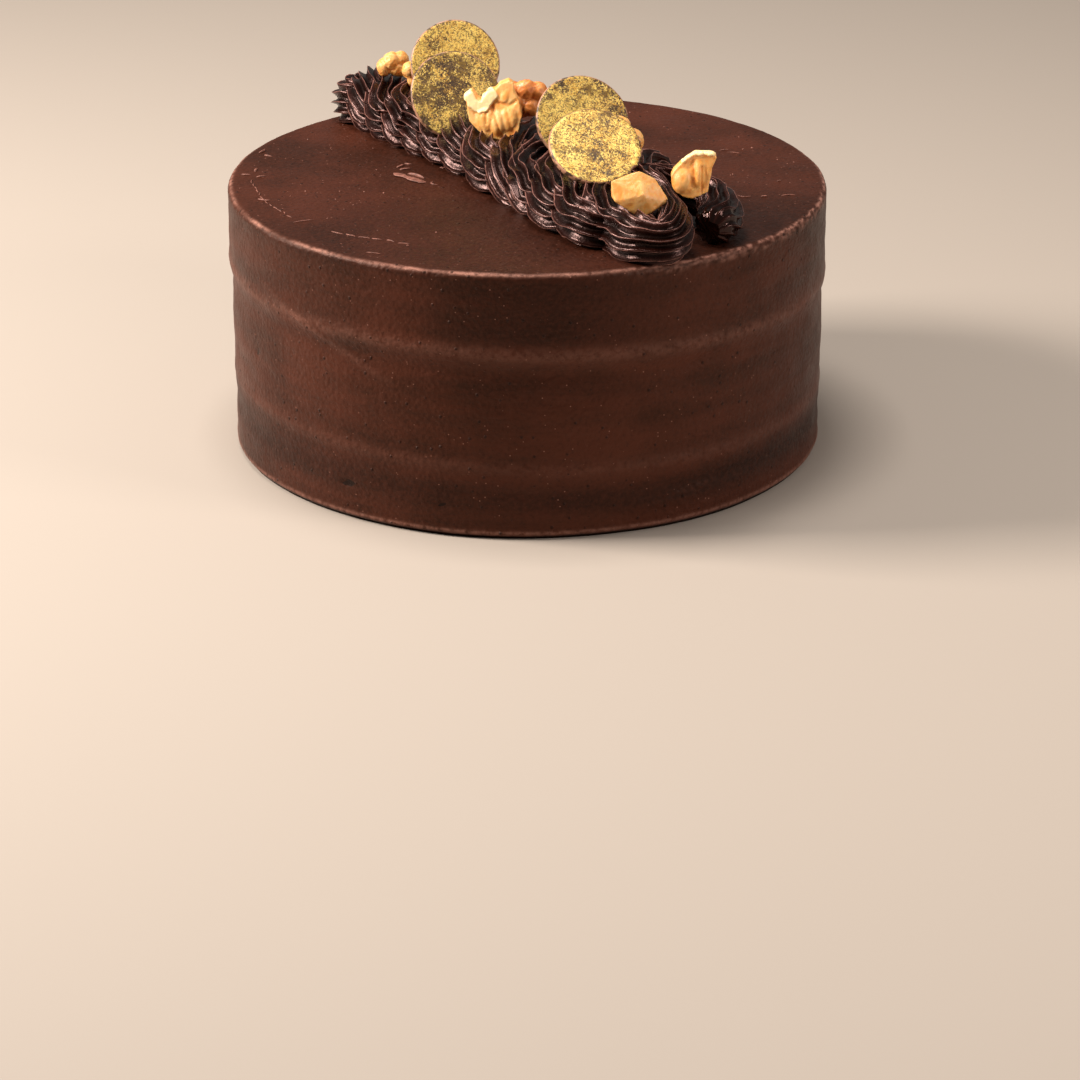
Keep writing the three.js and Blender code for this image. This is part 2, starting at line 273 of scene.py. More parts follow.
class ShaderTree(NodeTree):
    """A material's node tree, with its principled shader in place."""

    def __init__(self, name: str) -> None:
        """Makes the material.

        Args:
            name: The material's name.
        """
        self.material = bpy.data.materials.new(name)
        self.material.use_nodes = True
        super().__init__(self.material.node_tree)
        self.shader = self.tree.nodes["Principled BSDF"]

    def place(self) -> bpy.types.NodeSocket:
        """Returns the object coordinates, in metres."""
        return self.node("ShaderNodeTexCoord").outputs["Object"]

    def noise(
        self,
        place: bpy.types.NodeSocket,
        size_mm: float,
        detail: float = 3.0,
        roughness: float = 0.5,
        distortion: float = 0.0,
        stretch: Sequence[float] = (1.0, 1.0, 1.0),
    ) -> bpy.types.NodeSocket:
        """Adds a noise pattern.

        Args:
            place: The coordinates it is read at.
            size_mm: The size of its largest patches.
            detail: How many finer layers it has.
            roughness: How strong the finer layers are.
            distortion: How far it is swirled.
            stretch: Scale on each axis, below 1 for longer patches.

        Returns:
            The pattern, about 0 to 1.
        """
        scale = tuple(axis * (1.0 / (size_mm * MM)) for axis in stretch)
        moved = self.node("ShaderNodeMapping", {"Vector": place, "Scale": scale})
        made = self.node(
            "ShaderNodeTexNoise",
            {
                "Vector": moved.outputs[0],
                "Scale": 1.0,
                "Detail": detail,
                "Roughness": roughness,
                "Distortion": distortion,
            },
        )
        return made.outputs["Fac"]

    def cells(self, place: object, size_mm: float, feature: str = "F1") -> bpy.types.NodeSocket:
        """Adds a cell pattern.

        Args:
            place: The coordinates it is read at.
            size_mm: The size of its cells.
            feature: How the distance is measured.

        Returns:
            The distance from the middle of the nearest cell, 0 to about 1.
        """
        scaled = self.scaled(place, 1.0 / (size_mm * MM))
        made = self.node("ShaderNodeTexVoronoi", {"Vector": scaled, "Scale": 1.0}, feature=feature)
        return made.outputs["Distance"]

    def mix(self, share: object, first: object, second: object) -> bpy.types.NodeSocket:
        """Mixes two colours.

        Args:
            share: How much of the second, 0 to 1.
            first: A colour or an output.
            second: A colour or an output.

        Returns:
            The mixed colour.
        """
        made = self.node("ShaderNodeMix", data_type="RGBA", clamp_factor=True)
        self.feed(made.inputs[0], share)
        for socket, value in ((made.inputs[6], first), (made.inputs[7], second)):
            self.feed(socket, (*value, 1.0) if isinstance(value, tuple) else value)
        return made.outputs[2]

    def attribute(self, name: str) -> bpy.types.NodeSocket:
        """Reads a number stored on the mesh and returns it."""
        made = self.node("ShaderNodeAttribute", attribute_name=name, attribute_type="GEOMETRY")
        return made.outputs["Fac"]

    def bump(self, height: object, distance_mm: float, below: object | None = None) -> bpy.types.NodeSocket:
        """Adds a bump.

        Args:
            height: The height pattern, 0 to 1.
            distance_mm: How deep a full step is.
            below: The normal of the bump beneath it, if there is one.

        Returns:
            The bent normal.
        """
        inputs = {"Height": height, "Distance": distance_mm * MM}
        if below is not None:
            inputs["Normal"] = below
        return self.node("ShaderNodeBump", inputs).outputs["Normal"]

    def finish(self, **sockets: object) -> bpy.types.Material:
        """Sets the principled shader's sockets.

        Args:
            sockets: Socket name, with underscores for spaces, to a value or an output.

        Returns:
            The finished material.
        """
        for name, value in sockets.items():
            socket = self.shader.inputs[name.replace("_", " ")]
            self.feed(socket, (*value, 1.0) if isinstance(value, tuple) and socket.type == "RGBA" else value)
        return self.material


# ------------------------------------------------------------------------------------------ finishes


@dataclass(frozen=True)
class ScrapedIcing:
    """Dark chocolate icing scraped smooth: satin and mottled, with painted highlights on its top edge and
    its ridges, and painted shade between its bands, in its dents and under its foot.
    """

    dark: Colour = linear(50, 23, 12)
    warm: Colour = linear(74, 36, 23)
    shadow: Colour = linear(24, 9, 5)
    # The colour of the painted highlight on the top edge and on the side's ridges.
    painted_highlight: Colour = linear(164, 116, 100)
    # The colour of the painted shade in dints, in dents and under the foot.
    pit: Colour = linear(20, 9, 6)
    gloss: Colour = (1.0, 0.66, 0.54)

    def material(self) -> bpy.types.Material:
        """Builds the material.

        Returns:
            The material.
        """
        made = ShaderTree("scraped_icing")
        place = made.place()
        clouds = made.noise(place, 34, detail=4, roughness=0.55)
        drag = made.noise(place, 26, detail=4, roughness=0.6, stretch=(0.35, 0.35, 2.6))
        grain = made.noise(place, 1.3, detail=3, roughness=0.6)
        tone = made.plus(made.times(clouds, 0.5), made.times(drag, 0.5))
        colour = made.mix(made.remap(tone, 0.4, 0.58), self.dark, self.warm)
        # Painted shade from the stored shade: along the side's bands at the front, low above the foot, and
        # towards the front of the top.
        colour = made.mix(made.times(made.attribute("shade"), 0.75), colour, self.shadow)
        colour = made.mix(made.remap(grain, 0.45, 0.7, 0.0, 0.4), colour, self.warm)
        colour = made.mix(made.remap(grain, 0.45, 0.3, 0.0, 0.35), colour, self.shadow)
        # Painted highlight: a broken pale line along the top edge, patches on the right shoulder, and paler
        # ridges, smear and foot lip, broken up by noise.
        painted_highlight = made.attribute("painted_highlight")
        uneven = made.remap(made.noise(place, 2.2, detail=4, roughness=0.65), 0.36, 0.56, 0.2, 1.0)
        colour = made.mix(made.times(painted_highlight, uneven), colour, self.painted_highlight)
        # Pale specks, drawn in the painted highlight's colour.
        speck = made.remap(made.cells(place, 2.2), 0.12, 0.06)
        chosen = made.remap(made.noise(place, 5.0, detail=2), 0.48, 0.56)
        colour = made.mix(made.times(speck, chosen, 0.6), colour, self.painted_highlight)
        # Painted shade in small dark dints.
        elsewhere = made.vector("ADD", place, (0.3, 0.1, 0.2))
        dints = made.remap(made.cells(elsewhere, 4.5), 0.14, 0.06)
        colour = made.mix(made.times(dints, 0.7), colour, self.pit)
        # Painted shade in the listed dents and in the gap under the foot.
        ragged = made.times(made.minus(made.noise(place, 1.3, detail=4), 0.5), 0.9)
        torn = made.remap(made.plus(made.attribute("pit"), ragged), 0.42, 0.56)
        colour = made.mix(torn, colour, self.pit)
        rough = made.remap(made.noise(place, 9, detail=4, roughness=0.6), 0.3, 0.7, 0.38, 0.54)
        low = made.bump(dints, 0.3, made.bump(drag, 0.6))
        pebbles = made.remap(made.cells(place, 1.5, feature="SMOOTH_F1"), 0.1, 0.7)
        low = made.bump(pebbles, 0.15, low)
        fine = made.bump(made.noise(place, 0.7, detail=3, roughness=0.7), 0.15, low)
        return made.finish(
            Base_Color=colour,
            Roughness=rough,
            Normal=fine,
            Specular_IOR_Level=0.22,
            Specular_Tint=self.gloss,
        )


@dataclass(frozen=True)
class PipedChocolate:
    """Glossy dark buttercream, with painted shade that makes its valleys almost black and a painted
    highlight along its ridges' crests.
    """

    # The colour of the painted shade down in the valleys.
    valley: Colour = linear(14, 5, 3)
    body: Colour = linear(40, 15, 10)
    # The colour of the painted highlight along the crests.
    crest: Colour = linear(168, 118, 106)
    gloss: Colour = (1.0, 0.58, 0.52)

    def material(self) -> bpy.types.Material:
        """Builds the material.

        Returns:
            The material.
        """
        made = ShaderTree("piped_chocolate")
        place = made.place()
        crest = made.attribute("crest")
        wet = made.attribute("wet")
        streak = made.noise(place, 3.0, detail=4, roughness=0.6)
        # Painted shade: darker down in the valleys between the ridges.
        raised = made.remap(crest, 0.15, 0.6)
        body = made.times(raised, made.remap(streak, 0.35, 0.65, 0.4, 1.0))
        colour = made.mix(body, self.valley, self.body)
        # Painted highlight: a thin pale line along each crest, left out where the strand is wet.
        edge = made.times(made.remap(crest, 0.87, 1.0), made.remap(streak, 0.35, 0.6, 0.25, 1.0))
        painted_crest_highlight = made.times(edge, made.minus(1.0, wet))
        colour = made.mix(painted_crest_highlight, colour, self.crest)
        rough = made.remap(made.noise(place, 1.6, detail=3), 0.3, 0.7, 0.2, 0.34)
        rough = made.minus(rough, made.times(wet, 0.2))
        low = made.bump(made.noise(place, 1.4, detail=4, roughness=0.6), 0.14)
        return made.finish(
            Base_Color=colour,
            Roughness=rough,
            Normal=low,
            Specular_IOR_Level=0.36,
            Specular_Tint=self.gloss,
        )


@dataclass(frozen=True)
class GoldDust:
    """Dark chocolate brushed with gold dust, caught in fine curls, in dots and in broad patches, with a
    patchy painted highlight on its rim and, fainter, on its back.

    More curls or more film cover more of the face, and a higher dull leaves less of the gold stained.
    """

    name: str
    curls: float
    film: float
    patch_shift: tuple[float, float, float]
    dull: float
    chocolate: Colour = linear(66, 46, 28)
    stain: Colour = linear(116, 86, 34)
    deep_gold: Colour = linear(206, 152, 58)
    gold: Colour = linear(255, 222, 120)
    # The colour of the painted highlight on the rim.
    rim: Colour = linear(196, 144, 112)

    def curl_lines(
        self, made: ShaderTree, place: object, size_mm: float, width: float
    ) -> bpy.types.NodeSocket:
        """Draws thin curls along the middle level of a noise pattern.

        Args:
            made: The tree that is being built.
            place: The coordinates that the pattern is read at.
            size_mm: How far apart the curls lie.
            width: How wide they are, as a share of the pattern's height.

        Returns:
            The curls, 0 to 1.
        """
        level = made.noise(place, size_mm, detail=1.5, roughness=0.4, distortion=0.6)
        away = made.math("ABSOLUTE", made.minus(level, 0.5))
        return made.remap(away, width, 0.45 * width)

    def material(self) -> bpy.types.Material:
        """Builds the material.

        Returns:
            The material.
        """
        made = ShaderTree(f"gold_dust_{self.name}")
        place = made.place()
        moved = made.vector("ADD", place, self.patch_shift)
        aside = made.vector("ADD", moved, (0.031, 0.017, 0.023))
        wide_curls = self.curl_lines(made, moved, 1.5, 0.06)
        fine_curls = self.curl_lines(made, aside, 1.0, 0.055)
        lines = made.math("MAXIMUM", wide_curls, fine_curls)
        broken = made.remap(made.noise(aside, 3.2, detail=3, roughness=0.7), 0.44, 0.52)
        lines = made.times(lines, broken)
        dot = made.remap(made.cells(moved, 0.85), 0.36, 0.24)
        some_dots = made.remap(made.noise(aside, 2.1, detail=1), 0.5, 0.56)
        spots = made.times(dot, some_dots)
        flecks = made.math("MAXIMUM", lines, spots)
        patches = made.noise(moved, 11, detail=3, roughness=0.6)
        gate = made.remap(made.plus(patches, self.curls), 0.86, 1.0)
        grain = made.noise(aside, 0.55, detail=2, roughness=0.6, distortion=0.8)
        thick = made.plus(patches, self.film, made.times(grain, 0.8))
        far_aside = made.vector("ADD", aside, aside)
        bare_curls = made.times(self.curl_lines(made, far_aside, 2.4, 0.07), 0.8)
        film = made.times(made.remap(thick, 1.2, 1.32), made.minus(1.0, bare_curls))
        face = made.attribute("face")
        dust = made.math("MAXIMUM", made.times(flecks, gate), made.times(film, 0.92))
        dust = made.times(dust, made.remap(face, 0.4, 0.9))
        shine = made.plus(made.times(grain, 0.6), made.times(patches, 0.4))
        shade = made.mix(made.remap(shine, 0.42, 0.6), self.deep_gold, self.gold)
        broad = made.noise(aside, 6.5, detail=4, roughness=0.65)
        stain = made.remap(broad, self.dull, self.dull + 0.1, 0.0, 0.9)
        shade = made.mix(stain, shade, self.stain)
        bright = made.remap(made.noise(moved, 3.4, detail=2), 0.46, 0.54)
        across = made.vector("ADD", moved, aside)
        strokes = made.times(self.curl_lines(made, across, 3.2, 0.045), bright)
        shade = made.mix(made.math("MAXIMUM", strokes, spots), shade, self.gold)
        # Painted highlight: pale patches on the rim, fainter on the back.
        patchy_highlight = made.remap(made.noise(place, 2.4, detail=3), 0.4, 0.5)
        rim = made.mix(made.times(patchy_highlight, made.remap(face, 0.5, 0.2)), self.chocolate, self.rim)
        colour = made.mix(dust, rim, shade)
        rough = made.remap(dust, 0.0, 1.0, 0.45, 0.4)
        metal = made.times(dust, 0.25)
        normal = made.bump(dust, 0.05, made.bump(made.noise(place, 3.0), 0.1))
        return made.finish(Base_Color=colour, Roughness=rough, Metallic=metal, Normal=normal)


class Skin(Enum):
    """How a walnut kernel's skin looks."""

    PALE = "pale"
    BROWN = "brown"


@dataclass(frozen=True)
class WalnutSkin:
    """A walnut kernel: thin oily skin, darker in its folds, with creamy flesh where it is broken."""

    skin: Skin
    ridge: Colour
    body: Colour
    fold: Colour
    flesh: Colour = linear(255, 226, 168)

    def material(self) -> bpy.types.Material:
        """Builds the material.

        Returns:
            The material.
        """
        made = ShaderTree(f"walnut_{self.skin.value}")
        place = made.place()
        fold = made.attribute("fold")
        flesh = made.attribute("flesh")
        blotch = made.noise(place, 5.0, detail=4, roughness=0.55)
        vein = made.noise(place, 1.5, detail=4, roughness=0.6, distortion=0.8)
        tone = made.plus(fold, made.times(made.minus(vein, 0.5), 0.3))
        colour = made.mix(made.remap(tone, 0.5, 0.92), self.body, self.ridge)
        colour = made.mix(made.remap(tone, 0.46, 0.12), colour, self.fold)
        colour = made.mix(made.remap(blotch, 0.5, 0.75, 0.0, 0.45), colour, self.fold)
        grainy = made.plus(flesh, made.times(made.minus(vein, 0.5), 0.5))
        colour = made.mix(made.remap(grainy, 0.35, 0.65), colour, self.flesh)
        rough = made.remap(vein, 0.3, 0.7, 0.34, 0.5)
        normal = made.bump(vein, 0.12, made.bump(blotch, 0.25))
        return made.finish(
            Base_Color=colour,
            Roughness=rough,
            Normal=normal,
            Subsurface_Weight=0.22,
            Subsurface_Radius=(0.9, 0.45, 0.2),
            Subsurface_Scale=0.002,
            Specular_IOR_Level=0.5,
        )


@dataclass(frozen=True)
class DryCrumb:
    """Dry shavings of icing: pinkish brown and matt."""

    dark: Colour = linear(92, 52, 38)
    pale: Colour = linear(146, 94, 78)

    def material(self, name: str) -> bpy.types.Material:
        """Builds the material.

        Args:
            name: The material's name.

        Returns:
            The material.
        """
        made = ShaderTree(name)
        place = made.place()
        grain = made.noise(place, 1.2, detail=3)
        colour = made.mix(made.remap(grain, 0.35, 0.65), self.dark, self.pale)
        normal = made.bump(made.noise(place, 0.6, detail=3), 0.1)
        return made.finish(Base_Color=colour, Roughness=0.6, Normal=normal)


@dataclass(frozen=True)
class PaleFloor:
    """The plain pale floor that the cake stands on."""

    tone: Colour = linear(178, 168, 157)

    def material(self) -> bpy.types.Material:
        """Builds the material."""
        made = ShaderTree("pale_floor")
        return made.finish(Base_Color=self.tone, Roughness=0.7, Specular_IOR_Level=0.2)


# ------------------------------------------------------------------------------------- mesh making


def link_mesh(name: str, mesh: bpy.types.Mesh) -> bpy.types.Object:
    """Puts a mesh into the scene as an object at the origin.

    Args:
        name: The object's name.
        mesh: The mesh.

    Returns:
        The object.
    """
    made = bpy.data.objects.new(name, mesh)
    bpy.context.scene.collection.objects.link(made)
    return made


def mesh_from(name: str, points: np.ndarray, faces: Sequence[Sequence[int]]) -> bpy.types.Mesh:
    """Makes a smooth-shaded mesh.

    Args:
        name: The mesh's name.
        points: Vertices in metres, one row each.
        faces: Corner lists.

    Returns:
        The mesh.
    """
    mesh = bpy.data.meshes.new(name)
    mesh.from_pydata(points.tolist(), [], [tuple(face) for face in faces])
    mesh.shade_smooth()
    mesh.update()
    return mesh


def store(mesh: bpy.types.Mesh, name: str, values: Iterable[float]) -> None:
    """Stores one number for each vertex under a name."""
    layer = mesh.attributes.new(name, "FLOAT", "POINT")
    layer.data.foreach_set("value", np.asarray(list(values), dtype=np.float32))


def ring_faces(rings: int, sides: int) -> list[tuple[int, ...]]:
    """Lists the faces of a closed skin over rings of points.

    Args:
        rings: How many rings there are.
        sides: How many points each has.

    Returns:
        The faces, pointing outwards for rings that turn left as they climb.
    """
    faces: list[tuple[int, ...]] = []
    for ring in range(rings - 1):
        for side in range(sides):
            after = (side + 1) % sides
            low = ring * sides
            faces.append((low + side, low + after, low + sides + after, low + sides + side))
    faces.append(tuple(reversed(range(sides))))
    faces.append(tuple(range((rings - 1) * sides, rings * sides)))
    return faces


def applied(source: bpy.types.Object, name: str) -> bpy.types.Object:
    """Turns an object with its modifiers into a plain mesh object, and removes the source.

    Args:
        source: The object with its modifiers.
        name: The new object's name.

    Returns:
        The plain object.
    """
    bpy.context.view_layer.update()
    graph = bpy.context.evaluated_depsgraph_get()
    mesh = bpy.data.meshes.new_from_object(source.evaluated_get(graph), depsgraph=graph)
    mesh.name = name
    bpy.data.objects.remove(source, do_unlink=True)
    return link_mesh(name, mesh)


def surface_tree(piece: bpy.types.Object) -> BVHTree:
    """Makes a search tree of a piece's faces.

    Args:
        piece: The piece.

    Returns:
        The tree, in metres.
    """
    work = bmesh.new()
    work.from_mesh(piece.data)
    tree = BVHTree.FromBMesh(work)
    work.free()
    return tree


def dress(piece: bpy.types.Object, slot: str, material: bpy.types.Material | None, *nodes: str) -> None:
    """Gives a piece its material and body, and hides the nodes that it stands for.

    Args:
        piece: The piece.
        slot: The record's material slot; not used.
        material: The finish, or None where the mesh already has it.
        nodes: The nodes that it replaces.
    """
    if material is not None:
        piece.data.materials.clear()
        piece.data.materials.append(material)
    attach(piece, ROOT_BODY)
    if nodes:
        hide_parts(*nodes)
    LOG.info("%s: %d faces", piece.name, len(piece.data.polygons))


# --------------------------------------------------------------------------------------------- cake


class Zone(Enum):
    """Which part of the cake's skin a row is on."""

    SIDE = "side"
    RIM = "rim"
    TOP = "top"


@dataclass(frozen=True)
class Band:
    """A band that the scraper left: a ridge, or a groove where it stands out by less than nothing."""

    level: float
    width: float
    out: float


@dataclass(frozen=True)
class Dent:
    """A small pit or tear in the icing's side."""

    angle: float
    height: float
    width: float
    tall: float
    depth: float


@dataclass
class IcedCake:
    """The tall round cake: scraped side, soft top edge, flat top and a thin lip at the foot."""

    radius: float = CAKE_RADIUS_MM
    height: float = CAKE_HEIGHT_MM
    skirt_inset: float = 0.8
    skirt_rise: tuple[float, float] = (56.0, 61.0)
    band_tilt: float = 2.2
    upper_ridge: Band = Band(62.5, 1.6, 0.34)
    upper_groove: Band = Band(56.0, 2.6, -0.3)
    belly: Band = Band(42.0, 5.0, 0.25)
    lower_ridge: Band = Band(24.0, 1.9, 0.34)
    lower_groove: Band = Band(15.0, 3.0, -0.34)
    smear_start: float = -2.62
    smear_span: float = 0.62
    smear_top: float = 71.0
    smear_fall: float = 17.0
    smear_bow: float = 5.0
    smear_out: float = 0.42
    lip_height: float = 2.1
    lip_out: float = 0.6
    gap_depth: float = 1.1
    swell: float = 0.4
    scrape_marks: float = 0.14
    fine_marks: float = 0.05
    rim_round: float = 2.3
    rim_rough: float = 0.2
    rim_wear: float = 0.12
    top_waves: float = 0.13
    top_ripples: float = 0.05
    sides: int = 560
    side_rows: int = 96
    rim_rows: int = 10
    top_rows: int = 34
    dents: list[Dent] = field(
        default_factory=lambda: [
            Dent(-2.66, 44, 1.1, 1.5, 0.9),
            Dent(-2.20, 72, 0.9, 0.9, 0.5),
            Dent(-1.95, 60, 0.9, 0.8, 0.5),
            Dent(-2.18, 12, 3.4, 1.2, 0.9),
            Dent(-1.96, 28, 1.0, 1.0, 0.5),
            Dent(-1.84, 10.5, 1.9, 0.9, 0.7),
            Dent(-1.3, 35, 0.8, 0.7, 0.4),
            Dent(-0.8, 50, 0.9, 0.8, 0.4),
            Dent(0.6, 40, 1.2, 1.0, 0.6),
            Dent(1.9, 22, 3.0, 1.6, 0.8),
            Dent(2.6, 58, 1.0, 0.9, 0.5),
        ]
    )

    def tilt(self, angle: float) -> float:
        """Returns how much higher the scraper's bands run at an angle than on average, in millimetres."""
        return -self.band_tilt * math.cos(angle)

    def band(self, angle: float, height: float) -> float:
        """Works out the scraper's bands.

        Args:
            angle: The angle around the cake.
            height: The height in millimetres.

        Returns:
            How far the bands push the side out, in millimetres.
        """
        level = height - self.tilt(angle)
        out = -self.skirt_inset * (1.0 - smoothstep(*self.skirt_rise, level))
        for band in (self.upper_ridge, self.upper_groove, self.belly, self.lower_ridge, self.lower_groove):
            out += band.out * hump(level, band.level, band.width)
        return out

    def smear(self, angle: float, height: float) -> float:
        """Works out the slanted smear ridge on the left of the side.

        Args:
            angle: The angle around the cake.
            height: The height in millimetres.

        Returns:
            How far it stands out, in millimetres.
        """
        along = (angle - self.smear_start) / self.smear_span
        if not 0.0 < along < 1.0:
            return 0.0
        line = self.smear_top - self.smear_fall * along - self.smear_bow * along * along
        return self.smear_out * hump(height, line, 1.0) * math.sin(math.pi * along) ** 0.6

    def foot(self, angle: float, height: float) -> float:
        """Works out the thin rough lip at the foot and the dark gap under it.

        Args:
            angle: The angle around the cake.
            height: The height in millimetres.

        Returns:
            How far they push the side out, in millimetres.
        """
        rough = 0.55 + 0.45 * ring_noise(angle, 9.0, 3.0)
        lip = self.lip_out * rough * hump(height, self.lip_height, 0.55)
        gap = -self.gap_depth * (1.0 - smoothstep(0.5, 1.5, height))
        return lip + gap

    def side_reach(self, angle: float, height: float) -> float:
        """Works out the side's radius.

        Args:
            angle: The angle around the cake.
            height: The height in millimetres.

        Returns:
            The radius in millimetres.
        """
        broad = self.swell * ring_noise(angle, 2.2, height / 60.0)
        scrape = self.scrape_marks * ring_noise(angle, 7.0, height / 4.0)
        fine = self.fine_marks * ring_noise(angle, 34.0, height / 2.6)
        banded = self.radius + self.band(angle, height)
        return banded + (broad + scrape + fine) + self.smear(angle, height) + self.foot(angle, height)

    def pit(self, angle: float, height: float) -> float:
        """Works out how deep the listed dents are.

        Args:
            angle: The angle around the cake.
            height: The height in millimetres.

        Returns:
            The depth in millimetres.
        """
        deep = 0.0
        for dent in self.dents:
            sideways = (angle - dent.angle + math.pi) % (2.0 * math.pi) - math.pi
            sideways *= self.radius / dent.width
            upwards = (height - dent.height) / dent.tall
            spread = sideways * sideways + upwards * upwards
            if spread < 9.0:
                torn = 0.6 + 0.8 * noise.noise(Vector((sideways, upwards, dent.depth)))
                deep = max(deep, dent.depth * math.exp(-spread) * torn)
        return deep

    def shade(self, angle: float, height: float) -> float:
        """Works out the painted shade on the side: at the front under the top edge and along the scraper's
        bands, and all round low above the foot, most at the right.

        Args:
            angle: The angle around the cake.
            height: The height in millimetres.

        Returns:
            The darkness, 0 to 1.
        """
        level = height - self.tilt(angle) - 2.0 * ring_noise(angle, 1.6, 9.0)
        front = hump(angle, -1.5, 0.36)
        upper = 0.85 * front * smoothstep(65.0, 69.0, level)
        groove = front * 0.6 * hump(level, 53.0, 4.2)
        belly = 0.16 * front * smoothstep(18.0, 26.0, level) * (1.0 - smoothstep(42.0, 50.0, level))
        low = (0.72 + 0.4 * self.right_side(angle, -1.7, -1.35)) * hump(level, 14.5, 5.4)
        return min(upper + groove + belly + low, 1.0)

    def right_side(self, angle: float, start: float, full: float) -> float:
        """Works out how far an angle is on the cake's right side.

        Args:
            angle: The angle around the cake.
            start: The angle where the side starts.
            full: The angle from which it counts in full.

        Returns:
            The share, 0 to 1, which fades out again behind the cake.
        """
        return smoothstep(start, full, angle) * (1.0 - smoothstep(2.2, 2.9, angle))

    def top_shade(self, spot: Vector) -> float:
        """Works out how much darker the top is towards the front.

        Args:
            spot: A point of the top, in millimetres.

        Returns:
            The darkness, 0 to 1.
        """
        wave = 12.0 * noise.noise(Vector((spot.x / 40.0, spot.y / 40.0, 2.0)))
        forward = smoothstep(-45.0, 70.0, -spot.y + wave)
        return 0.62 * forward * (1.0 - smoothstep(60.0, 88.0, -spot.x))

    def rows(self) -> list[tuple[Zone, float, float]]:
        """Lists the rows of the skin from the foot up.

        Returns:
            What each row is on, its height and its inset.
        """
        rows: list[tuple[Zone, float, float]] = []
        shoulder = self.height - self.rim_round
        for row in range(self.side_rows):
            share = row / self.side_rows
            rows.append((Zone.SIDE, shoulder * (0.35 * share * share + 0.65 * share), 0.0))
        for row in range(self.rim_rows + 1):
            turn = row / self.rim_rows * math.pi / 2.0
            inset = self.rim_round * (1.0 - math.cos(turn))
            rows.append((Zone.RIM, shoulder + self.rim_round * math.sin(turn), inset))
        reach = self.radius - self.rim_round
        for row in range(1, self.top_rows):
            inset = self.rim_round + reach * (row / self.top_rows) ** 1.25
            rows.append((Zone.TOP, self.height, inset))
        return rows

    def point(self, zone: Zone, angle: float, height: float, inset: float, deep: float) -> Vector:
        """Works out one vertex.

        Args:
            zone: What the row is on.
            angle: The angle around the cake.
            height: The row's height.
            inset: How far inside the side the row lies.
            deep: How deep a dent is there.

        Returns:
            The point in millimetres.
        """
        shoulder = self.height - self.rim_round
        base = self.side_reach(angle, min(height, shoulder))
        around = Vector((30.0 * math.cos(angle), 30.0 * math.sin(angle), height / 2.0))
        rough = noise.noise(around) + 0.6 * noise.noise(around * 2.3)
        on_rim = smoothstep(shoulder - 2.5, self.height, height)
        on_rim *= 1.0 - smoothstep(self.rim_round, 7.0, inset)
        reach = max(base - inset - deep + self.rim_rough * rough * on_rim, 0.4)
        spot = Vector((reach * math.cos(angle), reach * math.sin(angle), 0.0))
        level = 0.0
        if zone is not Zone.SIDE:
            level = self.top_waves * noise.noise(spot / 17.0) + self.top_ripples * noise.noise(spot / 5.0)
            level -= self.rim_wear * max(rough, 0.0) * on_rim
            level *= smoothstep(0.0, 1.0, inset)
        spot.z = height + level
        return spot

    def painted_edge_highlight(self, angle: float, height: float, inset: float) -> float:
        """Works out the painted highlight: a broken pale line along the top edge, and patches of it on the
        shoulder under the edge at the right.

        Args:
            angle: The angle around the cake.
            height: The row's height.
            inset: How far inside the side the row lies.

        Returns:
            The highlight, from 0.
        """
        right = self.right_side(angle, -1.35, -1.0)
        bits = ring_noise(angle, 42.0, 0.8 * (height + inset))
        broken = 0.5 + 0.8 * ring_noise(angle, 11.0, 5.0)
        broken += 0.2 * right + 1.6 * right * bits + 0.3 * hump(angle, -1.85, 0.3)
        edge = hump(height - self.height, -0.45, 0.55) * hump(inset, 0.85, 0.7)
        shoulder = self.height - self.rim_round
        # Painted highlight in patches on the right shoulder.
        patchy_highlight = 0.5 * right * hump(height - shoulder, 0.4, 1.1) * hump(inset, 0.0, 1.2)
        patchy_highlight *= min(max(0.55 + 1.4 * bits, 0.0), 1.0)
        return 1.15 * edge * min(max(broken, 0.12), 1.0) + patchy_highlight

    def painted_band_highlight(self, angle: float, height: float) -> float:
        """Works out the painted highlight on the side's ridges, its smear and the lip at its foot.

        Args:
            angle: The angle around the cake.
            height: The height in millimetres.

        Returns:
            The highlight, from 0.
        """
        level = height - self.tilt(angle)
        upper = 0.17 * hump(level, self.upper_ridge.level, 2.4)
        lower = 0.08 * hump(level, self.lower_ridge.level, 2.4)
        lip = 0.5 * hump(height, self.lip_height, 0.6)
        return upper + lower + (lip + 0.35 * abs(self.smear(angle, height)))

    def build(self) -> bpy.types.Object:
        """Builds the cake.

        Returns:
            The piece.
        """
        points: list[Vector] = []
        painted_highlights: list[float] = []
        painted_pit_shades: list[float] = []
        painted_shades: list[float] = []
        rows = self.rows()
        for zone, height, inset in rows:
            for side in range(self.sides):
                angle = side / self.sides * 2.0 * math.pi - math.pi
                # Painted highlight on the top edge and the right shoulder; on the side there is also painted
                # highlight on the ridges, the smear and the foot lip.
                painted_highlight = self.painted_edge_highlight(angle, height, inset)
                if zone is Zone.SIDE:
                    deep = self.pit(angle, height)
                    points.append(self.point(zone, angle, height, inset, deep))
                    painted_highlights.append(min(painted_highlight + self.painted_band_highlight(angle, height), 1.0))
                    # Painted shade in the dents and in the gap under the foot.
                    painted_pit_shades.append(min(min(deep / 0.5, 1.0) + (1.0 - smoothstep(0.4, 1.3, height)), 1.0))
                    painted_shades.append(self.shade(angle, height))
                else:
                    points.append(self.point(zone, angle, height, inset, 0.0))
                    painted_highlights.append(min(painted_highlight, 1.0))
                    painted_pit_shades.append(0.0)
                    painted_shades.append(self.top_shade(points[-1]))
        mesh = mesh_from("iced_cake", np.array(points) * MM, ring_faces(len(rows), self.sides))
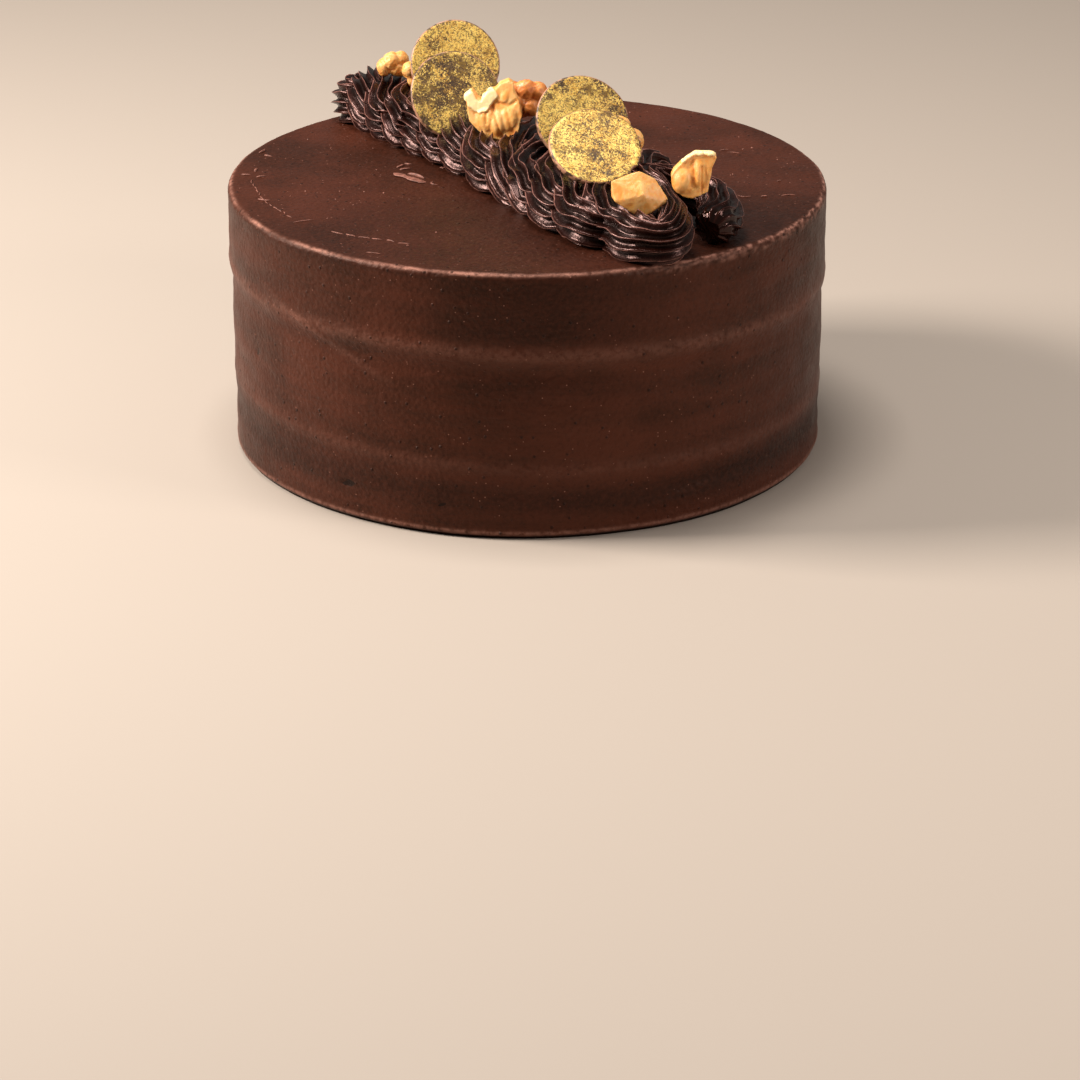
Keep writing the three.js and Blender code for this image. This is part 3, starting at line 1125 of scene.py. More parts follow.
        # Stores the painted highlight, the painted shade in the dents and under the foot, and the painted
        # shade of the side's bands and of the top.
        store(mesh, "painted_highlight", painted_highlights)
        store(mesh, "pit", painted_pit_shades)
        store(mesh, "shade", painted_shades)
        piece = link_mesh("iced_cake", mesh)
        dress(piece, "chocolate_icing", ScrapedIcing().material(), "cake")
        return piece


# ----------------------------------------------------------------------------------- geometry trees


class GeometryTree(NodeTree):
    """A geometry tree under construction, with the geometry passed in and a finish among its inputs."""

    def __init__(self, name: str, inputs: dict[str, str]) -> None:
        """Makes the tree with its sockets.

        Args:
            name: The tree's name.
            inputs: Input name to its kind: Int, Float or Material.
        """
        super().__init__(bpy.data.node_groups.new(name, "GeometryNodeTree"))
        sockets = self.tree.interface
        for title, kind in {"Geometry": "Geometry", **inputs}.items():
            sockets.new_socket(title, in_out="INPUT", socket_type=f"NodeSocket{kind}")
        sockets.new_socket("Geometry", in_out="OUTPUT", socket_type="NodeSocketGeometry")
        self.given = self.node("NodeGroupInput").outputs

    def step(self, kind: str, inputs: dict, **settings: object) -> bpy.types.NodeSocket:
        """Adds a node and returns its first output."""
        return self.node(kind, inputs, **settings).outputs[0]

    def texture(self, place: object, scale: float, detail: float) -> bpy.types.NodeSocket:
        """Adds a plain noise pattern and returns its level."""
        return self.step("ShaderNodeTexNoise", {"Vector": place, "Scale": scale, "Detail": detail})

    def stored(
        self, geometry: object, name: str, value: object, kind: str = "FLOAT"
    ) -> bpy.types.NodeSocket:
        """Stores a value on the points under a name.

        Args:
            geometry: The geometry that carries it.
            name: The name.
            value: The value.
            kind: The value's data type.

        Returns:
            The geometry with the value.
        """
        inputs = {"Geometry": geometry, "Name": name, "Value": value}
        return self.step("GeometryNodeStoreNamedAttribute", inputs, data_type=kind, domain="POINT")

    def read(self, name: str, kind: str = "FLOAT") -> bpy.types.NodeSocket:
        """Reads a stored value and returns it."""
        return self.step("GeometryNodeInputNamedAttribute", {"Name": name}, data_type=kind)

    def finished(self, geometry: object) -> bpy.types.NodeTree:
        """Gives the geometry its finish and passes it out.

        Args:
            geometry: The geometry.

        Returns:
            The finished tree.
        """
        whole = self.step("GeometryNodeRealizeInstances", {"Geometry": geometry})
        inputs = {"Geometry": whole, "Material": self.given["Finish"]}
        self.node("NodeGroupOutput", {"Geometry": self.step("GeometryNodeSetMaterial", inputs)})
        return self.tree


def run_tree(source: bpy.types.Object, tree: bpy.types.NodeTree, values: dict[str, object]) -> None:
    """Adds a geometry tree to an object and sets the tree's inputs by name.

    Args:
        source: The object.
        tree: The tree.
        values: Input name to value.
    """
    modifier = source.modifiers.new(tree.name, "NODES")
    modifier.node_group = tree
    for item in tree.interface.items_tree:
        if item.item_type == "SOCKET" and item.in_out == "INPUT" and item.name in values:
            modifier[item.identifier] = values[item.name]


# --------------------------------------------------------------------------------------- piped rope


@dataclass(frozen=True)
class Turn:
    """One turn of the rope: where its near lobe sits, its swing and curl, its height and its rise."""

    along: float
    swing: float
    curl: float
    height: float
    crossing: float


@dataclass(frozen=True)
class Station:
    """One station of the strand, in millimetres, with how deeply ridged, wet and drawn out it is."""

    along: float
    across: float
    above: float
    radius: float
    ridge: float = 1.0
    wet: float = 0.0
    spike: float = 0.0


def smooth_row(rows: np.ndarray, share: float) -> np.ndarray:
    """Runs a smooth curve through four rows and reads it between the middle two.

    Args:
        rows: The four rows.
        share: How far from the second to the third it is read, 0 to 1.

    Returns:
        The row there.
    """
    before, first, last, after = rows
    slope = (last - before) * share
    bend = (2 * before - 5 * first + 4 * last - after) * share**2
    sway = (3 * first - before - 3 * last + after) * share**3
    return 0.5 * (2 * first + slope + bend + sway)


@dataclass
class PipedRope:
    """One strand of star-tip piping, laid in a trailing coil that ends in a long lobe and a pinch."""

    turns: list[Turn] = field(
        default_factory=lambda: [
            Turn(-90, 6.8, 4, 6.8, 5),
            Turn(-78, 7.2, 4, 6.8, 5),
            Turn(-66.5, 7.5, 4, 6.6, 5),
            Turn(-55, 8, 4, 6.4, 5),
            Turn(-43, 9, 4.5, 6.3, 5),
            Turn(-31, 9.5, 4.5, 6.2, 5),
            Turn(-18, 10, 5, 6.2, 5),
            Turn(3, 14.5, 7, 6.1, 5),
            Turn(20, 16.5, 7, 6, 5),
            Turn(33, 19, 7.5, 6, 5),
            Turn(49, 21.5, 8.5, 6, 5),
            Turn(66, 23, 10, 6, 5),
            Turn(79, 22, 10, 6, 5),
        ]
    )
    start: list[Station] = field(
        default_factory=lambda: [
            Station(-97.4, -1.2, 7.6, 2.6, 0.6),
            Station(-97, -2.2, 7.6, 6.0, spike=1.0),
            Station(-96, -4, 7.4, 7.4, spike=0.7),
            Station(-94, -6.4, 6.8, 8.2, spike=0.2),
        ]
    )
    end: list[Station] = field(
        default_factory=lambda: [
            Station(49, 5, 11.4, 7.4),
            Station(52, -4.5, 12.4, 7.8),
            Station(56.5, -12.5, 10.8, 8.2),
            Station(64, -17.6, 8.4, 8.5),
            Station(73, -19.4, 6.8, 8.6),
            Station(82, -20.6, 5.6, 8.6),
            Station(90.6, -20.8, 5.2, 8.4),
            Station(95.2, -16.6, 6.2, 7.4),
            Station(93.2, -11.6, 8.6, 6.2),
            Station(88, -8, 11.2, 5.0),
            Station(82.8, -5.8, 13.2, 3.8),
            Station(79, -4, 14.2, 3.2),
            Station(75, -2.4, 14.8, 3.6),
            Station(69, -1, 15.2, 4.4),
            Station(63.5, 0.5, 15, 5.0),
            Station(61.5, 6, 13, 5.8),
            Station(64.5, 12, 11, 6.6),
            Station(70.5, 16, 9.4, 7.0),
            Station(77.5, 17.2, 8, 7.2),
            Station(83.6, 14.6, 6.8, 7.2, 0.95, 0.1),
            Station(87.6, 11, 6.2, 7.4, 0.8, 0.4),
            Station(90.2, 7.4, 6, 7.3, 0.6, 0.8),
            Station(92, 4.4, 5.8, 6.2, 0.4, 1.0),
            Station(93, 2.8, 5.4, 3.2, 0.2, 1.0),
        ]
    )
    offset: float = -1.0
    last_turn: float = 11.62
    radius: float = 8.7
    taper: float = 2.6
    pinch: float = 1.2
    coil: float = 0.8
    trail: float = 1.5
    ridges: int = 13
    points_per_ridge: int = 8
    ridge_depth: float = 0.3
    fray: float = 0.12
    lumps: float = 0.7
    twist: float = 2.6
    spike_length: float = 3.4
    sunk: float = 0.2
    stations_per_turn: int = 12
    step: float = 1.3
    drift: float = 0.7
    drift_length: float = 14.0
    swell: float = 0.09
    swell_length: float = 9.0
    press_gap: float = 0.15
    sliver: float = 1.7
    tuck_depth: float = 0.35
    seed: int = 7

    def between(self, name: str, turn: float) -> float:
        """Reads one value of the turns between two of them, and holds it at either end.

        Args:
            name: The value's name.
            turn: Where it is read, in turns.

        Returns:
            The value there.
        """
        held = min(max(turn, 0.0), len(self.turns) - 1.0)
        before = int(held)
        after = min(before + 1, len(self.turns) - 1)
        share = held - before
        return (1.0 - share) * getattr(self.turns[before], name) + share * getattr(self.turns[after], name)

    def station(self, turn: float) -> Station:
        """Works out the strand at a turn. Whole turns are near lobes.

        Args:
            turn: Where it is worked out, in turns.

        Returns:
            The station there.
        """
        phase = 2.0 * math.pi * turn
        nearness = math.cos(phase)
        coming = max(0.0, -math.sin(phase))
        leaving = max(0.0, math.sin(phase))
        sway = (1.0 - self.coil) * math.sin(2.0 * phase) + self.coil * math.sin(phase)
        trail = self.trail * self.between("swing", turn) * (1.0 - math.cos(phase)) / 2.0
        rise = self.between("crossing", turn) * coming
        return Station(
            self.between("along", turn) - trail + self.between("curl", turn) * sway,
            self.offset - self.between("swing", turn) * nearness * (1.25 - 0.25 * nearness**2),
            self.between("height", turn) - 1.0 + rise,
            self.radius - self.taper * leaving - self.pinch * coming**3,
        )

    def knots(self) -> list[Station]:
        """Lists the stations that the strand passes through.

        Returns:
            The stations in order.
        """
        last = int(self.last_turn * self.stations_per_turn)
        middle = [self.station(step / self.stations_per_turn) for step in range(last + 1)]
        return [*self.start, *middle, *self.end]

    def path(self) -> np.ndarray:
        """Runs a smooth curve through the stations.

        Returns:
            Rows of x, y, z, radius, ridge, wet and spike, evenly spaced, in millimetres.
        """
        # Without a seed the drift would change from run to run.
        noise.seed_set(self.seed)
        rows = []
        for knot in self.knots():
            place = on_top(knot.along, knot.across, knot.above)
            rows.append((*place, knot.radius, knot.ridge, knot.wet, knot.spike))
        table = np.array(rows)
        gaps = np.linalg.norm(np.diff(table[:, :3], axis=0), axis=1)
        reach = np.concatenate(([0.0], np.cumsum(gaps)))
        padded = np.vstack((2 * table[0] - table[1], table, 2 * table[-1] - table[-2]))
        count = int(reach[-1] / self.step)
        out = []
        for spot in np.linspace(0.0, reach[-1], count):
            before = min(int(np.searchsorted(reach, spot, side="right")) - 1, len(table) - 2)
            share = (spot - reach[before]) / (reach[before + 1] - reach[before])
            row = smooth_row(padded[before : before + 4], share)
            row[4:] = table[before, 4:] * (1 - share) + table[before + 1, 4:] * share
            drift = noise.noise_vector(Vector((spot / self.drift_length, self.seed, 0.0)))
            row[:3] += self.drift * np.array(drift)
            row[3] *= 1.0 + self.swell * noise.noise(Vector((spot / self.swell_length, 0.0, self.seed)))
            out.append(row)
        return np.array(out)

    def path_object(self) -> bpy.types.Object:
        """Makes the path as a line of edges that carries the strand's values.

        Returns:
            The line's object.
        """
        rows = self.path()
        mesh = bpy.data.meshes.new("strand_path")
        edges = [(row, row + 1) for row in range(len(rows) - 1)]
        mesh.from_pydata((rows[:, :3] * MM).tolist(), edges, [])
        store(mesh, "strand_radius", rows[:, 3] * MM)
        for column, name in enumerate(("ridge", "wet", "spike"), start=4):
            store(mesh, name, rows[:, column])
        return link_mesh("strand_path", mesh)

    def swept(self, made: GeometryTree) -> bpy.types.NodeSocket:
        """Sweeps a plain circle along the path, and stores what the ridges are worked out from.

        Args:
            made: The tree that is being built.

        Returns:
            The swept skin.
        """
        position = made.step("GeometryNodeInputPosition", {})
        curve = made.step("GeometryNodeMeshToCurve", {"Mesh": made.given["Geometry"]})
        curve = made.step("GeometryNodeSetCurveNormal", {"Curve": curve}, mode="Z_UP")
        turning = made.texture(self.seeded(made), 0.05, 1.0)
        twist = made.times(made.minus(turning, 0.5), made.given["Twist"])
        curve = made.step("GeometryNodeSetCurveTilt", {"Curve": curve, "Tilt": twist})
        curve = made.stored(curve, "centre", position, "FLOAT_VECTOR")
        tangent = made.step("GeometryNodeInputTangent", {})
        curve = made.stored(curve, "forward", tangent, "FLOAT_VECTOR")
        sizes = {"Resolution": made.given["Points Around"], "Radius": 1.0}
        circle = made.step("GeometryNodeCurvePrimitiveCircle", sizes)
        factor = made.node("GeometryNodeSplineParameter").outputs["Factor"]
        profile = made.stored(circle, "around", factor)
        radius = made.read("strand_radius")
        inputs = {"Curve": curve, "Profile Curve": profile, "Scale": radius, "Fill Caps": True}
        return made.step("GeometryNodeCurveToMesh", inputs)

    def seeded(self, made: GeometryTree) -> bpy.types.NodeSocket:
        """Works out where the strand's noise is read.

        Args:
            made: The tree that is being built.

        Returns:
            The position in millimetres, moved by the seed.
        """
        metres = made.step("GeometryNodeInputPosition", {})
        shift = made.step("ShaderNodeCombineXYZ", {"Z": made.times(made.given["Seed"], 13.7)})
        return made.vector("ADD", made.scaled(metres, 1000.0), shift)

    def tree(self) -> bpy.types.NodeTree:
        """Builds the tree that sweeps a ridged star along the path.

        Returns:
            The tree.
        """
        sizes = ("Ridge Depth", "Fray", "Lumps", "Twist", "Spike Length", "Cake Top")
        inputs = dict.fromkeys(("Ridges", "Points Around", "Seed"), "Int")
        inputs |= dict.fromkeys(sizes, "Float") | {"Finish": "Material"}
        made = GeometryTree("piped_strand", inputs)
        given = made.given
        skin = self.swept(made)
        position = made.step("GeometryNodeInputPosition", {})
        moved = self.seeded(made)
        centre = made.read("centre", "FLOAT_VECTOR")
        wave = made.math("SINE", made.times(made.read("around"), given["Ridges"], math.pi))
        valley = made.math("POWER", made.math("ABSOLUTE", wave), 0.75)
        crest = made.minus(1.0, valley)
        uneven = made.plus(0.55, made.times(made.texture(moved, 0.16, 2.0), 0.9))
        depth = made.times(given["Ridge Depth"], made.read("ridge"), uneven)
        frayed = made.times(made.minus(made.texture(moved, 0.75, 3.0), 0.5), given["Fray"])
        frayed = made.times(frayed, made.plus(0.25, crest))
        share = made.plus(made.minus(1.0, made.times(depth, valley)), frayed)
        lumps = made.minus(made.texture(moved, 0.32, 2.0), 0.5)
        share = made.plus(share, made.times(lumps, made.read("wet"), given["Lumps"]))
        arm = made.scaled(made.vector("SUBTRACT", position, centre), share)
        back = made.times(made.read("spike"), crest, given["Spike Length"])
        spiked = made.scaled(made.read("forward", "FLOAT_VECTOR"), made.times(back, -1.0))
        target = made.vector("ADD", made.vector("ADD", centre, arm), spiked)
        split = made.node("ShaderNodeSeparateXYZ", {0: target}).outputs
        held = made.math("MAXIMUM", split["Z"], given["Cake Top"])
        flat = made.step("ShaderNodeCombineXYZ", {"X": split["X"], "Y": split["Y"], "Z": held})
        skin = made.stored(skin, "crest", crest)
        skin = made.step("GeometryNodeSetPosition", {"Geometry": skin, "Position": flat})
        skin = made.step("GeometryNodeSetShadeSmooth", {"Geometry": skin, "Shade Smooth": True})
        return made.finished(skin)

    def build(
        self, toppings: Sequence[bpy.types.Object], discs: Sequence[bpy.types.Object]
    ) -> bpy.types.Object:
        """Builds the rope.

        Args:
            toppings: The pieces that lie pressed into it.
            discs: The discs that stand cut into it.

        Returns:
            The piece.
        """
        path = self.path_object()
        values = {
            "Ridges": self.ridges,
            "Points Around": self.ridges * self.points_per_ridge,
            "Ridge Depth": self.ridge_depth,
            "Fray": self.fray,
            "Lumps": self.lumps,
            "Twist": self.twist,
            "Spike Length": self.spike_length * MM,
            "Cake Top": (CAKE_HEIGHT_MM - self.sunk) * MM,
            "Seed": self.seed,
            "Finish": PipedChocolate().material(),
        }
        run_tree(path, self.tree(), values)
        piece = applied(path, "piped_rope_skin")
        for topping in toppings:
            self.press(piece, topping)
        for disc in discs:
            self.tuck(piece, disc)
        dress(piece, "piped_chocolate", None, "piped_rope")
        return piece

    def tuck(self, rope: bpy.types.Object, disc: bpy.types.Object) -> None:
        """Draws the rope's thin slivers beside a disc into it, so that its ridges end against the disc.

        Args:
            rope: The rope's piece.
            disc: The disc that stands cut into it.
        """
        tree = surface_tree(disc)
        for vertex in rope.data.vertices:
            place, normal, *_ = tree.find_nearest(vertex.co, self.sliver * MM)
            if place is not None and (vertex.co - place).dot(normal) > 0.0:
                vertex.co = place - normal * self.tuck_depth * MM

    def press(self, rope: bpy.types.Object, topping: bpy.types.Object) -> None:
        """Presses the rope down wherever it would stand in or above a topping.

        Args:
            rope: The rope's piece.
            topping: The piece that lies on it.
        """
        tree = surface_tree(topping)
        corners = np.array([tuple(vertex.co) for vertex in topping.data.vertices])
        low, high = corners.min(axis=0), corners.max(axis=0)
        count = len(rope.data.vertices)
        spots = np.empty(count * 3, dtype=np.float32)
        rope.data.vertices.foreach_get("co", spots)
        spots = spots.reshape(-1, 3)
        beside = np.all((spots[:, :2] > low[:2]) & (spots[:, :2] < high[:2]), axis=1)
        over = beside & (spots[:, 2] > low[2])
        upwards = Vector((0.0, 0.0, 1.0))
        well_below = 20.0 * MM
        for index in np.nonzero(over)[0]:
            spot = Vector(spots[index])
            start = Vector((spot.x, spot.y, low[2])) - upwards * well_below
            hit = tree.ray_cast(start, upwards)[0]
            if hit is not None and spot.z > hit.z - self.press_gap * MM:
                spots[index, 2] = hit.z - self.press_gap * MM
        rope.data.vertices.foreach_set("co", spots.reshape(-1))
        rope.data.update()


# ------------------------------------------------------------------------------------------- discs


@dataclass
class ChocolateDisc:
    """A thin disc of set chocolate with a soft uneven rim, brushed with gold dust on its face."""

    name: str
    at: tuple[float, float, float]
    lean: float
    turn: float
    finish: GoldDust
    radius: float = 15.3
    thickness: float = 2.0
    rim_round: float = 0.55
    chipped: float = 0.0
    sides: int = 144
    rings: int = 14
    rim_steps: int = 8
    pinhole: float = 0.03
    back_face: float = 0.35
    rim_face: float = 0.25
    waviness: float = 0.22
    fine_waviness: float = 0.06
    unevenness: float = 0.1
    lip_height: float = 0.14

    def rows(self) -> list[tuple[float, float, float]]:
        """Lists rings from the middle of the back round the rim to the middle of the front.

        Returns:
            Radius, place along the disc's axis and share of gold face, for each ring.
        """
        half = self.thickness / 2.0
        flat = self.radius - self.rim_round
        flats = [flat * (ring + self.pinhole) / self.rings for ring in range(self.rings)]
        rows = [(reach, -half, self.back_face) for reach in flats]
        for step in range(self.rim_steps + 1):
            turn = -math.pi / 2.0 + step / self.rim_steps * math.pi
            reach = flat + self.rim_round * math.cos(turn)
            lift = (half - self.rim_round) * float(np.sign(turn)) + self.rim_round * math.sin(turn)
            rows.append((reach, lift, self.rim_face if turn < 1.2 else 1.0))
        rows += [(reach, half, 1.0) for reach in reversed(flats)]
        return rows

    def build(self) -> bpy.types.Object:
        """Builds the disc.

        Returns:
            The piece.
        """
        lean = Matrix.Rotation(-math.radians(self.lean), 3, "X")
        turn = Matrix.Rotation(math.radians(self.turn), 3, "Z")
        middle = on_top(*self.at)
        stand = turn @ lean @ Matrix.Rotation(math.pi / 2.0, 3, "X")
        points = []
        faces = []
        for reach, lift, face in self.rows():
            for side in range(self.sides):
                angle = side / self.sides * 2.0 * math.pi
                around = Vector((math.cos(angle), math.sin(angle), 0.0))
                wobble = self.waviness * noise.noise(around * 1.7 + middle)
                wobble += self.fine_waviness * noise.noise(around * 7.0 + middle)
                low_right = smoothstep(0.35, 0.8, 0.75 * around.x - 0.66 * around.y)
                wobble -= self.chipped * low_right * abs(noise.noise(around * 9.0 + middle))
                level = self.unevenness * noise.noise(around * reach / 4.0 + middle)
                lip = self.lip_height * hump(reach - self.radius, -1.1, 0.6) * (1.0 if lift > 0 else 0.0)
                spot = around * (reach * (1.0 + wobble / self.radius))
                spot.z = lift + lip + level * min(reach / self.radius, 1.0)
                points.append(middle + stand @ spot)
                faces.append(face)
        mesh = mesh_from(self.name, np.array(points) * MM, ring_faces(len(self.rows()), self.sides))
        store(mesh, "face", faces)
        piece = link_mesh(f"{self.name}_skin", mesh)
        dress(piece, "gold_dusted_chocolate", self.finish.material(), self.name)
        return piece


DISCS = [
    ChocolateDisc(
        "chocolate_disc_back_left",
        at=(-48, 5, 27.5),
        lean=27,
        turn=5,
        finish=GoldDust("one", curls=0.6, film=0.47, patch_shift=(0.01, 0, 0), dull=0.57),
    ),
    ChocolateDisc(
        "chocolate_disc_front_left",
        at=(-34, -5, 21.5),
        lean=32,
        turn=12,
        finish=GoldDust("two", curls=0.7, film=0.35, patch_shift=(0.4, 0.1, 0.2), dull=0.46),
    ),
    ChocolateDisc(
        "chocolate_disc_back_right",
        at=(26, 3, 25.5),
        lean=35,
        turn=12,
        finish=GoldDust("three", curls=0.6, film=0.42, patch_shift=(0.7, 0.3, 0.1), dull=0.51),
    ),
    ChocolateDisc(
        "chocolate_disc_front_right",
        at=(49, -9, 24),
        lean=55,
        turn=14,
        finish=GoldDust("four", curls=0.6, film=0.48, patch_shift=(0.2, 0.6, 0.5), dull=0.54),
        chipped=2.4,
    ),
]


# ----------------------------------------------------------------------------------------- walnuts


@dataclass(frozen=True)
class Lobe:
    """A smooth lobe of a kernel: its middle, half sizes and turns."""

    at: tuple[float, float, float]
    half: tuple[float, float, float]
    turn: tuple[float, float, float] = (0.0, 0.0, 0.0)

    def matrix(self) -> Matrix:
        """Returns the placing of a unit ball that makes this lobe."""
        turned = Euler([math.radians(angle) for angle in self.turn], "XYZ").to_matrix().to_4x4()
        return Matrix.Translation(self.at) @ turned @ Matrix.Diagonal((*self.half, 1.0))


@dataclass(frozen=True)
class Groove:
    """A groove down a kernel's face, from one point of its outline's plane to another."""

    start: tuple[float, float]
    end: tuple[float, float]
    width: float
    depth: float

    def level(self, spot: Vector) -> float:
        """Returns how deep the groove is at a point, in millimetres."""
        return self.depth * hump(from_line(spot, [self.start, self.end]), 0.0, self.width)


def from_line(spot: Vector, line: Sequence[tuple[float, float]]) -> float:
    """Measures how far a point is from a line of points, seen from the front.

    Args:
        spot: The point.
        line: The line's points, sideways and upwards.

    Returns:
        The distance.
    """
    here = Vector((spot.x, spot.z))
    nearest = math.inf
    for start, end in zip(line, line[1:]):
        first = Vector(start)
        run = Vector(end) - first
        share = min(max((here - first).dot(run) / run.length_squared, 0.0), 1.0)
        nearest = min(nearest, (here - first - run * share).length)
    return nearest


@dataclass
class WalnutPiece:
    """A piece of walnut kernel, made of lobes, of a slab's outline or of a broken chip's corners."""

    name: str
    at: tuple[float, float, float]
    finish: WalnutSkin
    lobes: list[Lobe] = field(default_factory=list)
    corners: list[tuple[float, float, float]] = field(default_factory=list)
    outline: list[tuple[float, float]] = field(default_factory=list)
    half_depth: float = 2.2
    grooves: list[Groove] = field(default_factory=list)
    flap: list[tuple[float, float]] = field(default_factory=list)
    flap_width: float = 1.75
    flap_lift: float = 0.55
    lean: tuple[float, float] = (0.0, 0.0)
    wrinkle: float = 0.28
    wrinkle_size: float = 3.0
    grain_size: float = 0.9
    voxel: float = 0.3
    smoothing: int = 3
    slot: str = "pale_walnut"

    def rough_mesh(self) -> bpy.types.Object:
        """Joins the lobes, the corners' hull and the outline into one rough mesh in millimetres.

        Returns:
            The rough object.
        """
        work = bmesh.new()
        for lobe in self.lobes:
            bmesh.ops.create_uvsphere(work, u_segments=28, v_segments=18, radius=1.0, matrix=lobe.matrix())
        if self.corners:
            made = [work.verts.new(corner) for corner in self.corners]
            hull = bmesh.ops.convex_hull(work, input=made)
            loose = [item for item in hull["geom_interior"] if isinstance(item, bmesh.types.BMVert)]
            bmesh.ops.delete(work, geom=loose, context="VERTS")
        if self.outline:
            front = [work.verts.new((side, -self.half_depth, up)) for side, up in self.outline]
            back = [work.verts.new((side, self.half_depth, up)) for side, up in self.outline]
            faces = [work.faces.new(front), work.faces.new(list(reversed(back)))]
            for index, corner in enumerate(front):
                edge = (corner, front[index - 1], back[index - 1], back[index])
                faces.append(work.faces.new(edge))
            bmesh.ops.recalc_face_normals(work, faces=faces)
        mesh = bpy.data.meshes.new(self.name)
        work.to_mesh(mesh)
        work.free()
        return link_mesh(f"{self.name}_rough", mesh)

    def relief(self, spot: Vector) -> float:
        """Works out the kernel's wrinkles.

        Args:
            spot: A point of the rough mesh.

        Returns:
            The wrinkles' height there, about -1 to 1.
        """
        seed = Vector(self.at)
        broad = noise.noise(spot / self.wrinkle_size + seed)
        sharp = 1.0 - 2.0 * abs(noise.noise(spot / (0.62 * self.wrinkle_size) + seed * 2.0))
        fine = noise.noise(spot / self.grain_size + seed)
        return 0.6 * broad + 0.45 * (sharp - 0.6) + 0.18 * fine

    def on_flap(self, spot: Vector) -> float:
        """Works out how far a point lies on the broken flap at the front.

        Args:
            spot: A point of the rough mesh.

        Returns:
            The share of flap, 0 to 1.
        """
        if not self.flap or spot.y > 0.0:
            return 0.0
        away = from_line(spot, self.flap) + 0.35 * noise.noise(spot / 1.2)
        return 1.0 - smoothstep(self.flap_width - 0.25, self.flap_width + 0.15, away)

    def build(self) -> bpy.types.Object:
        """Builds the piece.

        Returns:
            The piece.
        """
        rough = self.rough_mesh()
        remesh = rough.modifiers.new("remesh", "REMESH")
        remesh.mode = "VOXEL"
        remesh.voxel_size = self.voxel
        soft = rough.modifiers.new("soft", "SMOOTH")
        soft.iterations = self.smoothing
        soft.factor = 0.5
        piece = applied(rough, f"{self.name}_skin")
        mesh = piece.data
        middle = on_top(*self.at)
        folds = []
        flaps = []
        moved = []
        for vertex in mesh.vertices:
            relief = self.relief(vertex.co)
            flap = self.on_flap(vertex.co)
            groove = max((line.level(vertex.co) for line in self.grooves), default=0.0)
            groove *= 1.0 - flap
            folds.append(min(max(0.7 + 0.5 * relief - 0.5 * groove, 0.0), 1.0))
            flaps.append(flap)
            spot = vertex.co + vertex.normal * (self.wrinkle * relief - groove + self.flap_lift * flap)
            spot.y += self.lean[0] * spot.x + self.lean[1] * spot.z
            moved.append(spot)
        for vertex, spot in zip(mesh.vertices, moved):
            vertex.co = (middle + spot) * MM
        mesh.shade_smooth()
        store(mesh, "fold", folds)
        store(mesh, "flesh", flaps)
        dress(piece, self.slot, self.finish.material(), self.name)
        return piece


PALE_SKIN = WalnutSkin(
    Skin.PALE,
    ridge=linear(246, 194, 122),
    body=linear(245, 170, 84),
    fold=linear(222, 126, 46),
)
BROWN_SKIN = WalnutSkin(
    Skin.BROWN,
    ridge=linear(240, 158, 84),
    body=linear(212, 120, 54),
    fold=linear(134, 66, 30),
)

